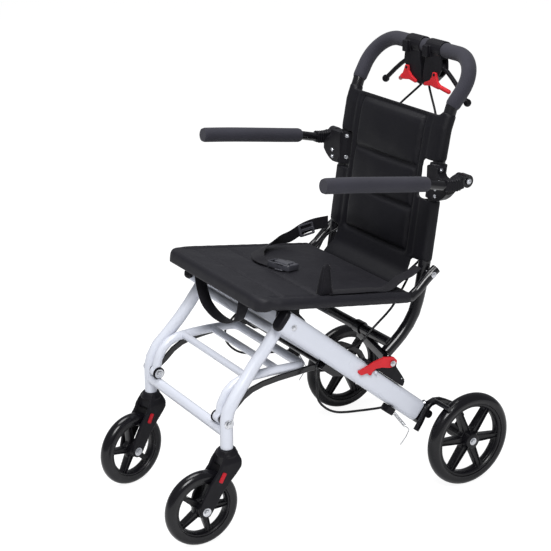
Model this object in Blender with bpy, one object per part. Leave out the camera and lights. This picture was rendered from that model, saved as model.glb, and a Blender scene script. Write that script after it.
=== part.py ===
"""A folding transport chair with four small wheels, as separate pieces.

All lengths are metres and all angles are degrees. +Z is up, the chair faces -Y and
+X is the left of the person who sits in it.
"""

import math

import bmesh
import bpy
from mathutils import Matrix, Vector

# Clearances
TOUCH = 0.0003
BORE_PLAY = 0.0004
RUNNING = 0.0012

# Main rails, which slope down from the fold bolt to the rear axle
FOLD_Y = -0.119
FOLD_Z = 0.4157
RAIL_PITCH = 39.0
RAIL_X = 0.1725
RAIL_WIDTH = 0.025
RAIL_HEIGHT = 0.0454
RAIL_FRONT = -0.021
RAIL_LENGTH = 0.416
CAP_LENGTH = 0.010
CAP_LIP = 0.0006
CROSS_TUBE_RADIUS = 0.010
CROSS_TUBE_INSET = 0.016

# Rear wheels
REAR_AXLE_Y = 0.284
REAR_WHEEL_X = 0.2244
REAR_RADIUS = 0.100
REAR_WIDTH = 0.0295
REAR_TYRE_DEPTH = 0.021
REAR_RIM_RADIUS = REAR_RADIUS - REAR_TYRE_DEPTH
REAR_HUB_RADIUS = 0.017
AXLE_RADIUS = 0.004
AXLE_HEAD_RADIUS = 0.0085
AXLE_HEAD_LENGTH = 0.0035
HUB_WIDTH = 0.036
REAR_SPOKES = 6
REAR_SPOKE_TURN = 53.5
FRONT_SPOKES = 5
FRONT_SPOKE_TURN = {"left": -3.0, "right": 26.5}
SPOKE_WIDTH = 0.010

# Axle arms
ARM_HEAD_LENGTH = 0.018
ARM_THICKNESS = 0.010
ARM_DEPTH = 0.013
ARM_X = 0.178
ARM_BOSS_RADIUS = 0.013

# Brake bars
BRAKE_BAR_X = 0.1925
BRAKE_BAR_WIDTH = 0.010
BRAKE_BAR_DEPTH = 0.011
BRAKE_PIN_RADIUS = 0.005
BRAKE_PIN_CLEARANCE = 0.0015
BRAKE_PIN_AHEAD = 0.063
BRAKE_PIVOT_ALONG = 0.0045
BRAKE_PIVOT_RADIUS = 0.0045

# Casters
STEM_X = 0.1555
STEM_Y = -0.2505
FORK_TOP_Z = 0.1885
TRAIL = 0.0564
FRONT_RADIUS = 0.0767
FRONT_WIDTH = 0.0265
FRONT_TYRE_DEPTH = 0.0207
FRONT_RIM_RADIUS = FRONT_RADIUS - FRONT_TYRE_DEPTH
FRONT_HUB_RADIUS = 0.014
FORK_WIDTH = 0.046
FORK_ARM = 0.007
STEM_PIN_RADIUS = 0.006
STEM_PIN_LENGTH = 0.030
SWIVEL = {"left": -1.5, "right": 12.2}

# Legs
LEG_RADIUS = 0.0125
UPPER_BAR_RADIUS = 0.010
LOWER_BAR_RADIUS = 0.011
LOWER_BAR_Z = 0.219
FOOT_PIVOT_Z = 0.2415
BOLT_RADIUS = 0.004
BOLT_HEAD_RADIUS = 0.0065
BOLT_HEAD_LENGTH = 0.003

# Folding links behind the legs
LINK_THICKNESS = 0.0048
LINK_DEPTH = 0.013
LINK_ROD_RADIUS = 0.0045
LINK_ROD_Y = -0.022
LINK_ROD_Z = 0.302
SHOE_LENGTH = 0.058

# Footrest
FOOTREST_RADIUS = 0.009
FOOTREST_RUNG_RADIUS = 0.0075
FOOTREST_REAR_Y = -0.061
FOOTREST_REAR_Z = 0.3065
FOOT_CAP_RADIUS = 0.0105
FOOT_CAP_LENGTH = 0.006

# Seat
SEAT_TUBE_RADIUS = 0.010
SEAT_TUBE_X = 0.180
SEAT_SLOPE = 8.4
SEAT_ABOVE_FOLD = 0.0471
SEAT_HEIGHT_AT_FOLD = FOLD_Z + SEAT_ABOVE_FOLD
SEAT_FRONT_Y = -0.181
SEAT_CORNER_RADIUS = 0.040
SEAT_LUG_THICKNESS = 0.0042
SEAT_LUG_WIDTH = 0.018
PAD_EDGE = 0.002
PAD_CROWN = 0.006
PAD_LIP_DROP = 0.016
PAD_OVERHANG = 0.011
PAD_REAR_Y = 0.152

# Back
BACK_TUBE_RADIUS = 0.0125
BACK_TUBE_X = 0.156
BACK_PIVOT_Y = 0.206
BACK_PIVOT_Z = 0.462
HANDLE_X = 0.171
HANDLE_Y = 0.320
HANDLE_CORNER_RADIUS = 0.064
HANDLE_BEND_Y = 0.261
HANDLE_BEND_Z = 0.788
HANDLE_RISE = 0.0877
HANDLE_Z = HANDLE_BEND_Z + HANDLE_RISE
GRIP_RADIUS = 0.0150
BACK_BAR_RADIUS = 0.0105
BACK_PAD_CROWN = 0.009
BACK_FLAP_HALF_WIDTH = 0.132
SLEEVE_RADIUS = 0.0135
CUTOUT_X = 0.120
BACK_BAR_Y = 0.128
BACK_BAR_Z = 0.322
BACK_PAD_BOTTOM_Z = 0.482
BACK_PAD_TOP_Z = 0.772

# Fold locks
LEVER_THICKNESS = 0.0045
LEVER_PIVOT_ALONG = 0.2553
LEVER_PIVOT_UP = 0.0500
LATCH_ALONG = 0.2295
LATCH_UP = 0.0165
LATCH_PIN_RADIUS = 0.003

# Armrests
ARM_PIVOT_Y = 0.247
ARM_PIVOT_Z = 0.6580
ARMREST_X = 0.222
ARM_TUBE_RADIUS = 0.0095
ARM_PAD_RADIUS = 0.0150
ARM_FRONT_Y = -0.082
ARM_FRONT_Z = 0.696
ARM_PAD_REAR_Y = 0.155
ARM_PAD_REAR_Z = 0.664
ARM_KNUCKLE_RADIUS = 0.0130
ARM_KNUCKLE_WIDTH = 0.0195
BRACKET_LOW_Z = 0.6095
BRACKET_HIGH_Z = 0.678
BRACKET_PLATE = 0.0108
ARM_BOSS_DISC = 0.0115
CLAMP_RADIUS = 0.0175

# Straps and lap belt
STRAP_Y = -0.169
STRAP_WIDTH = 0.025
STRAP_THICKNESS = 0.0016
BELT_WIDTH = 0.027
BELT_LIFT = 0.0022
BUCKLE_LIFT = 0.0030
BUCKLE_WIDTH = 0.039
BUCKLE_THICKNESS = 0.011
ADJUSTER_HEIGHT = 0.036
ADJUSTER_THICKNESS = 0.010

# Brake levers under the handle
CLAMP_START_X = 0.0095
CLAMP_WIDTH = 0.0475
HANDLE_CLAMP_RADIUS = 0.0178
BRAKE_BODY_Y = 0.316
BRAKE_BODY_DEPTH = 0.020
LEVER_X = 0.0530
LEVER_Z = HANDLE_Z - 0.0337
LEVER_DROP = 0.057
LEVER_ROOT_DEPTH = 0.0105
LEVER_RADIUS = 0.0048
LEVER_BALL_RADIUS = 0.0082
LEVER_PIN_RADIUS = 0.0026
LOCK_X = 0.0456
LOCK_Z = HANDLE_Z - 0.0497
LOCK_THICKNESS = 0.0050
LOCK_TAB_RADIUS = 0.0048
CABLE_RADIUS = 0.0024
CABLE_STEP = 0.0135

# Facets round the tubes and the smaller rods
TUBE_SIDES = 12
WHEEL_SIDES = 28
ROD_SIDES = 10

X_AXIS = Vector((1, 0, 0))
Y_AXIS = Vector((0, 1, 0))
Z_AXIS = Vector((0, 0, 1))
SIDES = (("left", 1), ("right", -1))

PITCH_COS = math.cos(math.radians(RAIL_PITCH))
PITCH_SIN = math.sin(math.radians(RAIL_PITCH))
RAIL_REAR = RAIL_FRONT + RAIL_LENGTH
RAIL_INNER = RAIL_X - RAIL_WIDTH / 2
RAIL_OUTER = RAIL_X + RAIL_WIDTH / 2
RAIL_TOP = RAIL_HEIGHT / 2
LEG_TOP_X = RAIL_INNER - TOUCH - LEG_RADIUS


def clear_scene():
    for old in list(bpy.data.objects):
        bpy.data.objects.remove(old, do_unlink=True)


def finish(name, colour, metallic, roughness):
    made = bpy.data.materials.new(name)
    made.use_nodes = True
    shader = made.node_tree.nodes["Principled BSDF"]
    shader.inputs["Base Color"].default_value = (*colour, 1)
    shader.inputs["Metallic"].default_value = metallic
    shader.inputs["Roughness"].default_value = roughness
    made.diffuse_color = (*colour, 1)
    return made


def make_materials():
    return {
        "white_paint": finish("white_paint", (0.80, 0.80, 0.84), 0.1, 0.3),
        "black_paint": finish("black_paint", (0.02, 0.02, 0.022), 0.2, 0.35),
        "black_plastic": finish("black_plastic", (0.025, 0.025, 0.027), 0.0, 0.5),
        "red_plastic": finish("red_plastic", (0.62, 0.02, 0.03), 0.0, 0.35),
        "zinc_steel": finish("zinc_steel", (0.70, 0.70, 0.70), 1.0, 0.3),
        "grey_tyre": finish("grey_tyre", (0.05, 0.05, 0.053), 0.0, 0.7),
        "foam": finish("foam", (0.07, 0.07, 0.08), 0.0, 0.85),
        "black_fabric": finish("black_fabric", (0.02, 0.02, 0.024), 0.0, 0.9),
        "webbing": finish("webbing", (0.015, 0.015, 0.016), 0.0, 0.8),
        "cable_jacket": finish("cable_jacket", (0.015, 0.015, 0.015), 0.0, 0.45),
    }


def to_object(name, solid, material, origin=None):
    """Turns a closed bmesh into an object whose origin is on its joint's axis."""
    bmesh.ops.recalc_face_normals(solid, faces=solid.faces)
    if origin is not None:
        bmesh.ops.translate(solid, verts=solid.verts, vec=-Vector(origin))
    mesh = bpy.data.meshes.new(name)
    solid.to_mesh(mesh)
    solid.free()
    mesh.shade_smooth()
    mesh.set_sharp_from_angle(angle=math.radians(38))
    mesh.materials.append(MATERIALS[material])
    made = bpy.data.objects.new(name, mesh)
    if origin is not None:
        made.location = origin
    bpy.context.scene.collection.objects.link(made)
    return made


def join(body, solid, operation="UNION"):
    """Adds a closed bmesh to a body, or cuts it away, with an exact Boolean."""
    name = f"{body.name}.{operation.lower()}.{len(body.modifiers)}"
    tool = to_object(name, solid, body.data.materials[0].name)
    tool.hide_render = True
    tool.display_type = "WIRE"
    modifier = body.modifiers.new(name, "BOOLEAN")
    modifier.operation = operation
    modifier.solver = "EXACT"
    modifier.object = tool


def cut(body, solid):
    join(body, solid, "DIFFERENCE")


def circle(radius, sides):
    return [
        (radius * math.cos(math.tau * n / sides), radius * math.sin(math.tau * n / sides))
        for n in range(sides)
    ]


def stadium(width, height, steps):
    """A section with straight flanks along its height and half-round ends."""
    radius = width / 2
    rise = height / 2 - radius
    ends = []
    for centre, start in ((rise, 0.0), (-rise, math.pi)):
        for n in range(steps + 1):
            angle = start + math.pi * n / steps
            ends.append((radius * math.cos(angle), centre + radius * math.sin(angle)))
    return ends


def rounded_bar(width, depth, radius, steps=3):
    """A rectangular section with round corners."""
    corners = []
    for n, (side, end) in enumerate(((1, 1), (-1, 1), (-1, -1), (1, -1))):
        for step in range(steps + 1):
            angle = math.pi / 2 * (n + step / steps)
            corners.append((
                side * (width / 2 - radius) + radius * math.cos(angle),
                end * (depth / 2 - radius) + radius * math.sin(angle),
            ))
    return corners


def sweep(path, section, across=X_AXIS):
    """A solid whose section follows a path, with a mitre at each corner."""
    path = [Vector(point) for point in path]
    runs = [(after - before).normalized() for before, after in zip(path, path[1:])]
    if abs(runs[0].dot(across)) > 0.95:
        across = Z_AXIS
    side = (across - runs[0] * across.dot(runs[0])).normalized()
    solid = bmesh.new()
    rings = []
    for index, point in enumerate(path):
        before = runs[max(index - 1, 0)]
        after = runs[min(index, len(runs) - 1)]
        mitre = (before + after).normalized()
        up = before.cross(side)
        ring = []
        for along_side, along_up in section:
            offset = side * along_side + up * along_up
            offset -= before * (offset.dot(mitre) / before.dot(mitre))
            ring.append(solid.verts.new(point + offset))
        rings.append(ring)
        side = before.rotation_difference(after) @ side
    skin(solid, rings)
    return solid


def skin(solid, rings):
    """Joins rings of points one after the other and closes both ends."""
    count = len(rings[0])
    for ring, following in zip(rings, rings[1:]):
        for n in range(count):
            m = (n + 1) % count
            solid.faces.new((ring[n], ring[m], following[m], following[n]))
    solid.faces.new(rings[0])
    solid.faces.new(rings[-1])


def rod(start, end, radius, sides=TUBE_SIDES):
    return sweep([start, end], circle(radius, sides))


def cross_rod(x_low, x_high, y, z, radius, sides=TUBE_SIDES):
    return rod((x_low, y, z), (x_high, y, z), radius, sides)


def turned(profile, sides, centre=(0, 0, 0)):
    """A solid turned about X from (radius, x) points, ending on the axis or as a ring."""
    solid = bmesh.new()
    rows = []
    for radius, along in profile:
        if radius == 0:
            rows.append([solid.verts.new((along, 0, 0))])
            continue
        rows.append([
            solid.verts.new((along, radius * math.cos(turn), radius * math.sin(turn)))
            for turn in (math.tau * n / sides for n in range(sides))
        ])
    pairs = list(zip(rows, rows[1:]))
    if len(rows[0]) > 1:
        pairs.append((rows[-1], rows[0]))
    for row, following in pairs:
        for n in range(sides):
            m = (n + 1) % sides
            corners = [row[n % len(row)], row[m % len(row)]]
            corners += [following[m % len(following)], following[n % len(following)]]
            solid.faces.new(list(dict.fromkeys(corners)))
    bmesh.ops.translate(solid, verts=solid.verts, vec=Vector(centre))
    return solid


def soften(points, radius, steps=4, closed=False, share=0.48):
    """Rounds the corners of a path or an outline with arcs."""
    points = [Vector(point) for point in points]
    result = []
    count = len(points)
    for index, corner in enumerate(points):
        if not closed and index in (0, count - 1):
            result.append(corner)
            continue
        back = points[index - 1] - corner
        ahead = points[(index + 1) % count] - corner
        turn = math.pi - back.angle(ahead)
        if turn < 0.05:
            result.append(corner)
            continue
        longest = share * min(back.length, ahead.length)
        reach = min(radius * math.tan(turn / 2), longest)
        start = corner + back.normalized() * reach
        end = corner + ahead.normalized() * reach
        centre_way = (back.normalized() + ahead.normalized()).normalized()
        centre = corner + centre_way * (reach / math.sin(turn / 2))
        arm = (start - centre).length
        for step in range(steps + 1):
            way = (start - centre).slerp(end - centre, step / steps)
            result.append(centre + way.normalized() * arm)
    return result


def flowing(points, steps):
    """Points on a smooth curve through the given points."""
    points = [Vector(point) for point in points]
    padded = [points[0] * 2 - points[1], *points, points[-1] * 2 - points[-2]]
    result = []
    for a, b, c, d in zip(padded, padded[1:], padded[2:], padded[3:]):
        for step in range(steps):
            t = step / steps
            result.append(0.5 * (
                2 * b + (c - a) * t
                + (2 * a - 5 * b + 4 * c - d) * t ** 2
                + (3 * b - a - 3 * c + d) * t ** 3
            ))
    result.append(points[-1])
    return result


def plate(outline, x_one, x_two):
    """A flat plate from an outline of (y, z) points, between two planes across X."""
    solid = bmesh.new()
    rings = [
        [solid.verts.new((x, y, z)) for y, z in outline]
        for x in (x_one, x_two)
    ]
    skin(solid, rings)
    return solid


def round_plate(outline, radius, x_one, x_two, steps=3):
    corners = soften([(0, y, z) for y, z in outline], radius, steps, closed=True)
    return plate([(corner.y, corner.z) for corner in corners], x_one, x_two)


def block(x_span, y_span, z_span):
    outline = [(y_span[0], z_span[0]), (y_span[1], z_span[0])]
    outline += [(y_span[1], z_span[1]), (y_span[0], z_span[1])]
    return plate(outline, *x_span)


def on_rail(along, up):
    """The (y, z) of a point given along the rail from the fold bolt and square to it."""
    return (
        FOLD_Y + along * PITCH_COS + up * PITCH_SIN,
        FOLD_Z - along * PITCH_SIN + up * PITCH_COS,
    )


def rail_plate(points, radius, x_one, x_two, steps=2):
    return round_plate([on_rail(*point) for point in points], radius, x_one, x_two, steps)


def at(x, pair):
    return (x, pair[0], pair[1])


def paint_rails():
    for name, side in SIDES:
        ends = [at(side * RAIL_X, on_rail(along, 0)) for along in (RAIL_FRONT, RAIL_REAR)]
        rail = to_object(
            f"rail_{name}", sweep(ends, stadium(RAIL_WIDTH, RAIL_HEIGHT, 8)), "white_paint"
        )
        pin_end = RAIL_OUTER + TOUCH + LEVER_THICKNESS + 0.002
        join(rail, cross_rod(
            side * RAIL_X, side * pin_end, *on_rail(LATCH_ALONG, LATCH_UP), LATCH_PIN_RADIUS, 10
        ))
        cut(rail, cross_rod(
            side * (RAIL_INNER - 0.01), side * (RAIL_OUTER + 0.01),
            FOLD_Y, FOLD_Z, BOLT_RADIUS + BORE_PLAY, ROD_SIDES,
        ))
        lip_width = RAIL_WIDTH + 2 * CAP_LIP
        lip_height = RAIL_HEIGHT + 2 * CAP_LIP
        rings_at = (
            (RAIL_FRONT - TOUCH, 1.0),
            (RAIL_FRONT - TOUCH - CAP_LENGTH * 0.7, 1.0),
            (RAIL_FRONT - TOUCH - CAP_LENGTH, 0.86),
        )
        solid = bmesh.new()
        rings = []
        for along, share in rings_at:
            section = stadium(lip_width * share, lip_height * share, 6)
            rings.append([
                solid.verts.new(at(side * RAIL_X + x, on_rail(along, up))) for x, up in section
            ])
        skin(solid, rings)
        to_object(f"rail_cap_{name}", solid, "black_plastic")


def rear_cross_tube():
    reach = RAIL_INNER - TOUCH
    place = on_rail(RAIL_REAR - CROSS_TUBE_INSET, 0)
    to_object(
        "rear_cross_tube", cross_rod(-reach, reach, *place, CROSS_TUBE_RADIUS), "black_paint"
    )


def arm_route():
    """The arch from a rail's end, over and down to the rear axle."""
    head_y, head_z = on_rail(RAIL_REAR + ARM_HEAD_LENGTH * 0.5, 0)
    rise = REAR_RADIUS - 0.1
    return [
        (head_y, head_z),
        (0.2058, 0.1690 + rise),
        (0.214, 0.1765 + rise),
        (0.228, 0.1805 + rise),
        (0.242, 0.1785 + rise),
        (0.257, 0.1715 + rise),
        (REAR_AXLE_Y - 0.009, 0.1615 + rise),
        (REAR_AXLE_Y + 0.009, 0.1465 + rise),
        (REAR_AXLE_Y + 0.018, 0.1300 + rise),
        (REAR_AXLE_Y + 0.014, 0.1130 + rise),
        (REAR_AXLE_Y, REAR_RADIUS),
    ]


def brake_pivot():
    return on_rail(RAIL_REAR + ARM_HEAD_LENGTH - BRAKE_PIVOT_ALONG, 0.006)


def axle_arms():
    for name, side in SIDES:
        head = [
            at(side * RAIL_X, on_rail(along, 0))
            for along in (RAIL_REAR + TOUCH, RAIL_REAR + TOUCH + ARM_HEAD_LENGTH)
        ]
        arm = to_object(
            f"axle_arm_{name}",
            sweep(head, stadium(RAIL_WIDTH - 0.001, RAIL_HEIGHT - 0.001, 6)),
            "black_paint",
        )
        route = [at(side * ARM_X, place) for place in arm_route()]
        join(arm, sweep(route, rounded_bar(ARM_THICKNESS, ARM_DEPTH, 0.003, 2)))
        hub_face = REAR_WHEEL_X - HUB_WIDTH / 2 - TOUCH
        boss = (side * (ARM_X - 0.007), side * hub_face, REAR_AXLE_Y, REAR_RADIUS)
        join(arm, cross_rod(*boss, ARM_BOSS_RADIUS, 20))
        stub = (side * (ARM_X - 0.004), side * (BRAKE_BAR_X + BRAKE_BAR_WIDTH / 2 + 0.003))
        join(arm, cross_rod(*stub, *brake_pivot(), BRAKE_PIVOT_RADIUS, 12))
        cut(arm, cross_rod(
            side * (ARM_X - 0.02), side * REAR_WHEEL_X,
            REAR_AXLE_Y, REAR_RADIUS, AXLE_RADIUS + BORE_PLAY, 12,
        ))


def rear_axles():
    outer = REAR_WHEEL_X + HUB_WIDTH / 2 + TOUCH
    inner = ARM_X - 0.007 - TOUCH
    profile = [
        (0, inner - AXLE_HEAD_LENGTH),
        (AXLE_HEAD_RADIUS, inner - AXLE_HEAD_LENGTH),
        (AXLE_HEAD_RADIUS, inner),
        (AXLE_RADIUS, inner),
        (AXLE_RADIUS, outer),
        (AXLE_HEAD_RADIUS, outer),
        (AXLE_HEAD_RADIUS, outer + AXLE_HEAD_LENGTH),
        (0, outer + AXLE_HEAD_LENGTH),
    ]
    for name, side in SIDES:
        bolt = [(radius, side * along) for radius, along in profile]
        to_object(
            f"rear_axle_{name}",
            turned(bolt, ROD_SIDES, (0, REAR_AXLE_Y, REAR_RADIUS)), "zinc_steel",
            (side * REAR_WHEEL_X, REAR_AXLE_Y, REAR_RADIUS),
        )


def tyre_profile(radius, rim_radius, width):
    """A closed outline of (radius, x): round shoulders on a flat bore."""
    shoulder = width * 0.36
    rise = radius - shoulder
    reach = width / 2 - shoulder
    crown = [
        (rise + shoulder * math.sin(angle), reach + shoulder * math.cos(angle))
        for angle in (math.pi / 2 * n / 2 for n in range(3))
    ]
    half = [(rim_radius, width * 0.40), *crown]
    return half + [(r, -x) for r, x in reversed(half)]


def wheel_body(name, rim_radius, rim_width, hub_radius, hub_width, bore, spokes, spoke_width, turn):
    """A rim, a hub and its spokes in one piece, by cutting windows from a disc."""
    web = rim_width * 0.55
    rim_depth = rim_radius * 0.065
    disc = [
        (rim_radius, rim_width / 2), (rim_radius, -rim_width / 2),
        (rim_radius - rim_depth, -rim_width / 2), (rim_radius - rim_depth * 1.5, -web / 2),
        (hub_radius * 1.25, -web / 2), (hub_radius, -hub_width / 2),
        (bore, -hub_width / 2), (bore, hub_width / 2),
        (hub_radius, hub_width / 2), (hub_radius * 1.25, web / 2),
        (rim_radius - rim_depth * 1.5, web / 2), (rim_radius - rim_depth, rim_width / 2),
    ]
    wheel = to_object(name, turned(disc, WHEEL_SIDES), "black_plastic")
    outer = rim_radius - rim_depth * 1.6
    inner = hub_radius * 1.45
    for number in range(spokes):
        middle = math.tau * (number + 0.5) / spokes + math.radians(turn)
        reach_out = math.pi / spokes - math.asin(spoke_width / 2 / outer)
        reach_in = math.pi / spokes - math.asin(spoke_width * 0.7 / inner)
        corners = [(outer, middle + reach_out * share) for share in (-1, -0.35, 0.35, 1)]
        corners += [(inner, middle + reach_in * share) for share in (1, -1)]
        window = [(r * math.cos(angle), r * math.sin(angle)) for r, angle in corners]
        cut(wheel, plate(window, -rim_width, rim_width))
    return wheel


def rear_wheels():
    for name, side in SIDES:
        centre = Vector((side * REAR_WHEEL_X, REAR_AXLE_Y, REAR_RADIUS))
        tyre = to_object(
            f"rear_tyre_{name}",
            turned(tyre_profile(REAR_RADIUS, REAR_RIM_RADIUS + TOUCH, REAR_WIDTH), WHEEL_SIDES),
            "grey_tyre",
        )
        wheel = wheel_body(
            f"rear_wheel_{name}", REAR_RIM_RADIUS, REAR_WIDTH * 0.78, REAR_HUB_RADIUS,
            HUB_WIDTH, AXLE_RADIUS + BORE_PLAY, REAR_SPOKES, SPOKE_WIDTH, REAR_SPOKE_TURN,
        )
        place_group([tyre, wheel], f"rear_axis_{name}", centre)


def place_group(pieces, name, place, yaw=0.0):
    """Hangs pieces that were built about the origin from an empty at their place."""
    pivot = bpy.data.objects.new(name, None)
    bpy.context.scene.collection.objects.link(pivot)
    pivot.location = place
    pivot.rotation_euler = (0, 0, math.radians(yaw))
    for piece in pieces:
        piece.parent = pivot
        for modifier in piece.modifiers:
            modifier.object.parent = pivot
    return pivot


def fork_solid(name):
    """A caster fork about its stem, with its wheel's axle in front of the stem."""
    half = FORK_WIDTH / 2
    top = FORK_TOP_Z
    axle_y = -TRAIL
    axle_z = FRONT_RADIUS
    outline = [
        (-0.011, top), (0.011, top), (0.016, top - 0.008), (0.021, top - 0.020),
        (0.020, top - 0.034), (0.009, top - 0.047), (-0.002, top - 0.058),
        (-0.022, axle_z + 0.030), (axle_y + 0.014, axle_z - 0.002),
        (axle_y + 0.006, axle_z - 0.013), (axle_y - 0.006, axle_z - 0.013),
        (axle_y - 0.014, axle_z - 0.002),
        (axle_y - 0.008, axle_z + 0.022), (-0.046, top - 0.058), (-0.028, top - 0.036),
        (-0.018, top - 0.014),
    ]
    fork = to_object(name, round_plate(outline, 0.006, half - FORK_ARM, half, 1), "black_plastic")
    join(fork, round_plate(outline, 0.006, FORK_ARM - half, -half, 1))
    clear_of_tyre = axle_z + math.sqrt((FRONT_RADIUS + 0.004) ** 2 - (TRAIL - 0.018) ** 2)
    crown = [
        (-0.010, top - 0.0005), (0.010, top - 0.0005),
        (0.015, top - 0.009), (0.019, top - 0.020),
        (0.017, top - 0.032), (0.004, clear_of_tyre + 0.001), (-0.019, clear_of_tyre + 0.006),
        (-0.014, top - 0.014),
    ]
    join(fork, round_plate(crown, 0.004, -half + 0.002, half - 0.002, 1))
    for side in (1, -1):
        shoulder = [
            (side * 0.0145, top + 0.002), (side * 0.030, top + 0.002),
            (side * 0.030, top - 0.026), (side * (half + 0.0005), top - 0.026),
        ]
        cut(fork, slab(shoulder, -0.050, 0.050))
    join(fork, rod((0, 0, top - 0.015), (0, 0, top + STEM_PIN_LENGTH), STEM_PIN_RADIUS, 12))
    reach = half + BOLT_HEAD_LENGTH
    join(fork, cross_rod(-reach, reach, axle_y, axle_z, BOLT_RADIUS, 12))
    return fork


def casters():
    for name, side in SIDES:
        fork = fork_solid(f"caster_fork_{name}")
        stem = Vector((side * STEM_X, STEM_Y, 0))
        place_group([fork], f"caster_axis_{name}", stem, SWIVEL[name])
        tyre = to_object(
            f"front_tyre_{name}",
            turned(tyre_profile(FRONT_RADIUS, FRONT_RIM_RADIUS + TOUCH, FRONT_WIDTH), WHEEL_SIDES),
            "grey_tyre",
        )
        hub_width = FORK_WIDTH - 2 * FORK_ARM - 2 * RUNNING
        wheel = wheel_body(
            f"front_wheel_{name}", FRONT_RIM_RADIUS, FRONT_WIDTH * 0.78, FRONT_HUB_RADIUS,
            hub_width, BOLT_RADIUS + BORE_PLAY, FRONT_SPOKES, SPOKE_WIDTH * 0.8,
            FRONT_SPOKE_TURN[name],
        )
        yaw = math.radians(SWIVEL[name])
        axle = stem + Vector((TRAIL * math.sin(yaw), -TRAIL * math.cos(yaw), FRONT_RADIUS))
        place_group([tyre, wheel], f"front_axis_{name}", axle, SWIVEL[name])


def leg_route(side):
    """A leg's centre line, from beside the rail down to the caster."""
    mid_x = (LEG_TOP_X + STEM_X) / 2
    points = [
        (LEG_TOP_X, FOLD_Y + 0.006, FOLD_Z + 0.006),
        (LEG_TOP_X, -0.136, 0.399),
        (LEG_TOP_X, -0.1605, 0.3675),
        (LEG_TOP_X, -0.1850, 0.3395),
        (mid_x, -0.2100, 0.3110),
        (STEM_X, STEM_Y + 0.0185, 0.2870),
        (STEM_X, STEM_Y + 0.0045, 0.2640),
        (STEM_X, STEM_Y, FOOT_PIVOT_Z + 0.004),
        (STEM_X, STEM_Y, FORK_TOP_Z + TOUCH),
    ]
    return [(side * x, y, z) for x, y, z in points]


def leg_frame():
    """Both legs with their two crossbars, welded into one frame."""
    section = circle(LEG_RADIUS, TUBE_SIDES)
    legs = to_object(
        "leg_frame", sweep(leg_route(1), section), "white_paint", (0, FOLD_Y, FOLD_Z)
    )
    join(legs, sweep(leg_route(-1), section))
    upper_y, upper_z = leg_route(1)[1][1:]
    join(legs, cross_rod(-LEG_TOP_X, LEG_TOP_X, upper_y, upper_z, UPPER_BAR_RADIUS))
    join(legs, cross_rod(-STEM_X, STEM_X, STEM_Y, LOWER_BAR_Z, LOWER_BAR_RADIUS))
    past = STEM_X + 2 * LEG_RADIUS
    for side in (1, -1):
        inside = side * (LEG_TOP_X - 2 * LEG_RADIUS)
        for y, z in ((FOLD_Y, FOLD_Z), (STEM_Y, FOOT_PIVOT_Z)):
            cut(legs, cross_rod(inside, side * past, y, z, BOLT_RADIUS + BORE_PLAY, ROD_SIDES))
        stem = (side * STEM_X, STEM_Y)
        cut(legs, rod(
            (*stem, FORK_TOP_Z - 0.01), (*stem, FORK_TOP_Z + STEM_PIN_LENGTH + 0.002),
            STEM_PIN_RADIUS + BORE_PLAY, 12,
        ))


def bolt(name, side, spans, y, z):
    """A stepped bolt along X from (x, radius) spans, measured outward from the middle."""
    profile = [(0, side * spans[0][0])]
    for start, end, radius in spans:
        profile += [(radius, side * start), (radius, side * end)]
    profile.append((0, side * spans[-1][1]))
    return to_object(name, turned(profile, ROD_SIDES, (0, y, z)), "zinc_steel", (0, y, z))


def fold_bolts():
    """The bolts that carry the legs and the seat on the front of the rails."""
    lug_inner = LEG_TOP_X - LEG_RADIUS - TOUCH - SEAT_LUG_THICKNESS - TOUCH
    head = RAIL_OUTER + TOUCH
    for name, side in SIDES:
        spans = (
            (lug_inner - BOLT_HEAD_LENGTH, lug_inner, BOLT_HEAD_RADIUS),
            (lug_inner, head, BOLT_RADIUS),
            (head, head + BOLT_HEAD_LENGTH, BOLT_HEAD_RADIUS),
        )
        bolt(f"fold_bolt_{name}", side, spans, FOLD_Y, FOLD_Z)


LINK_X = STEM_X - LEG_RADIUS - TOUCH - LINK_THICKNESS / 2
FOOTREST_X = LINK_X - LINK_THICKNESS / 2 - TOUCH - FOOTREST_RADIUS


def foot_bolts():
    """The bolts that the footrest and the folding links turn on, with their caps."""
    cap_outer = FOOTREST_X - FOOTREST_RADIUS - TOUCH
    cap_inner = cap_outer - FOOT_CAP_LENGTH
    head = STEM_X + LEG_RADIUS + TOUCH
    for name, side in SIDES:
        spans = (
            (cap_inner - BOLT_HEAD_LENGTH, cap_inner, BOLT_HEAD_RADIUS * 0.7),
            (cap_inner, cap_outer, FOOT_CAP_RADIUS),
            (cap_outer, head, BOLT_RADIUS),
            (head, head + BOLT_HEAD_LENGTH, BOLT_HEAD_RADIUS),
        )
        bolt(f"footrest_bolt_{name}", side, spans, STEM_Y, FOOT_PIVOT_Z)


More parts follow.
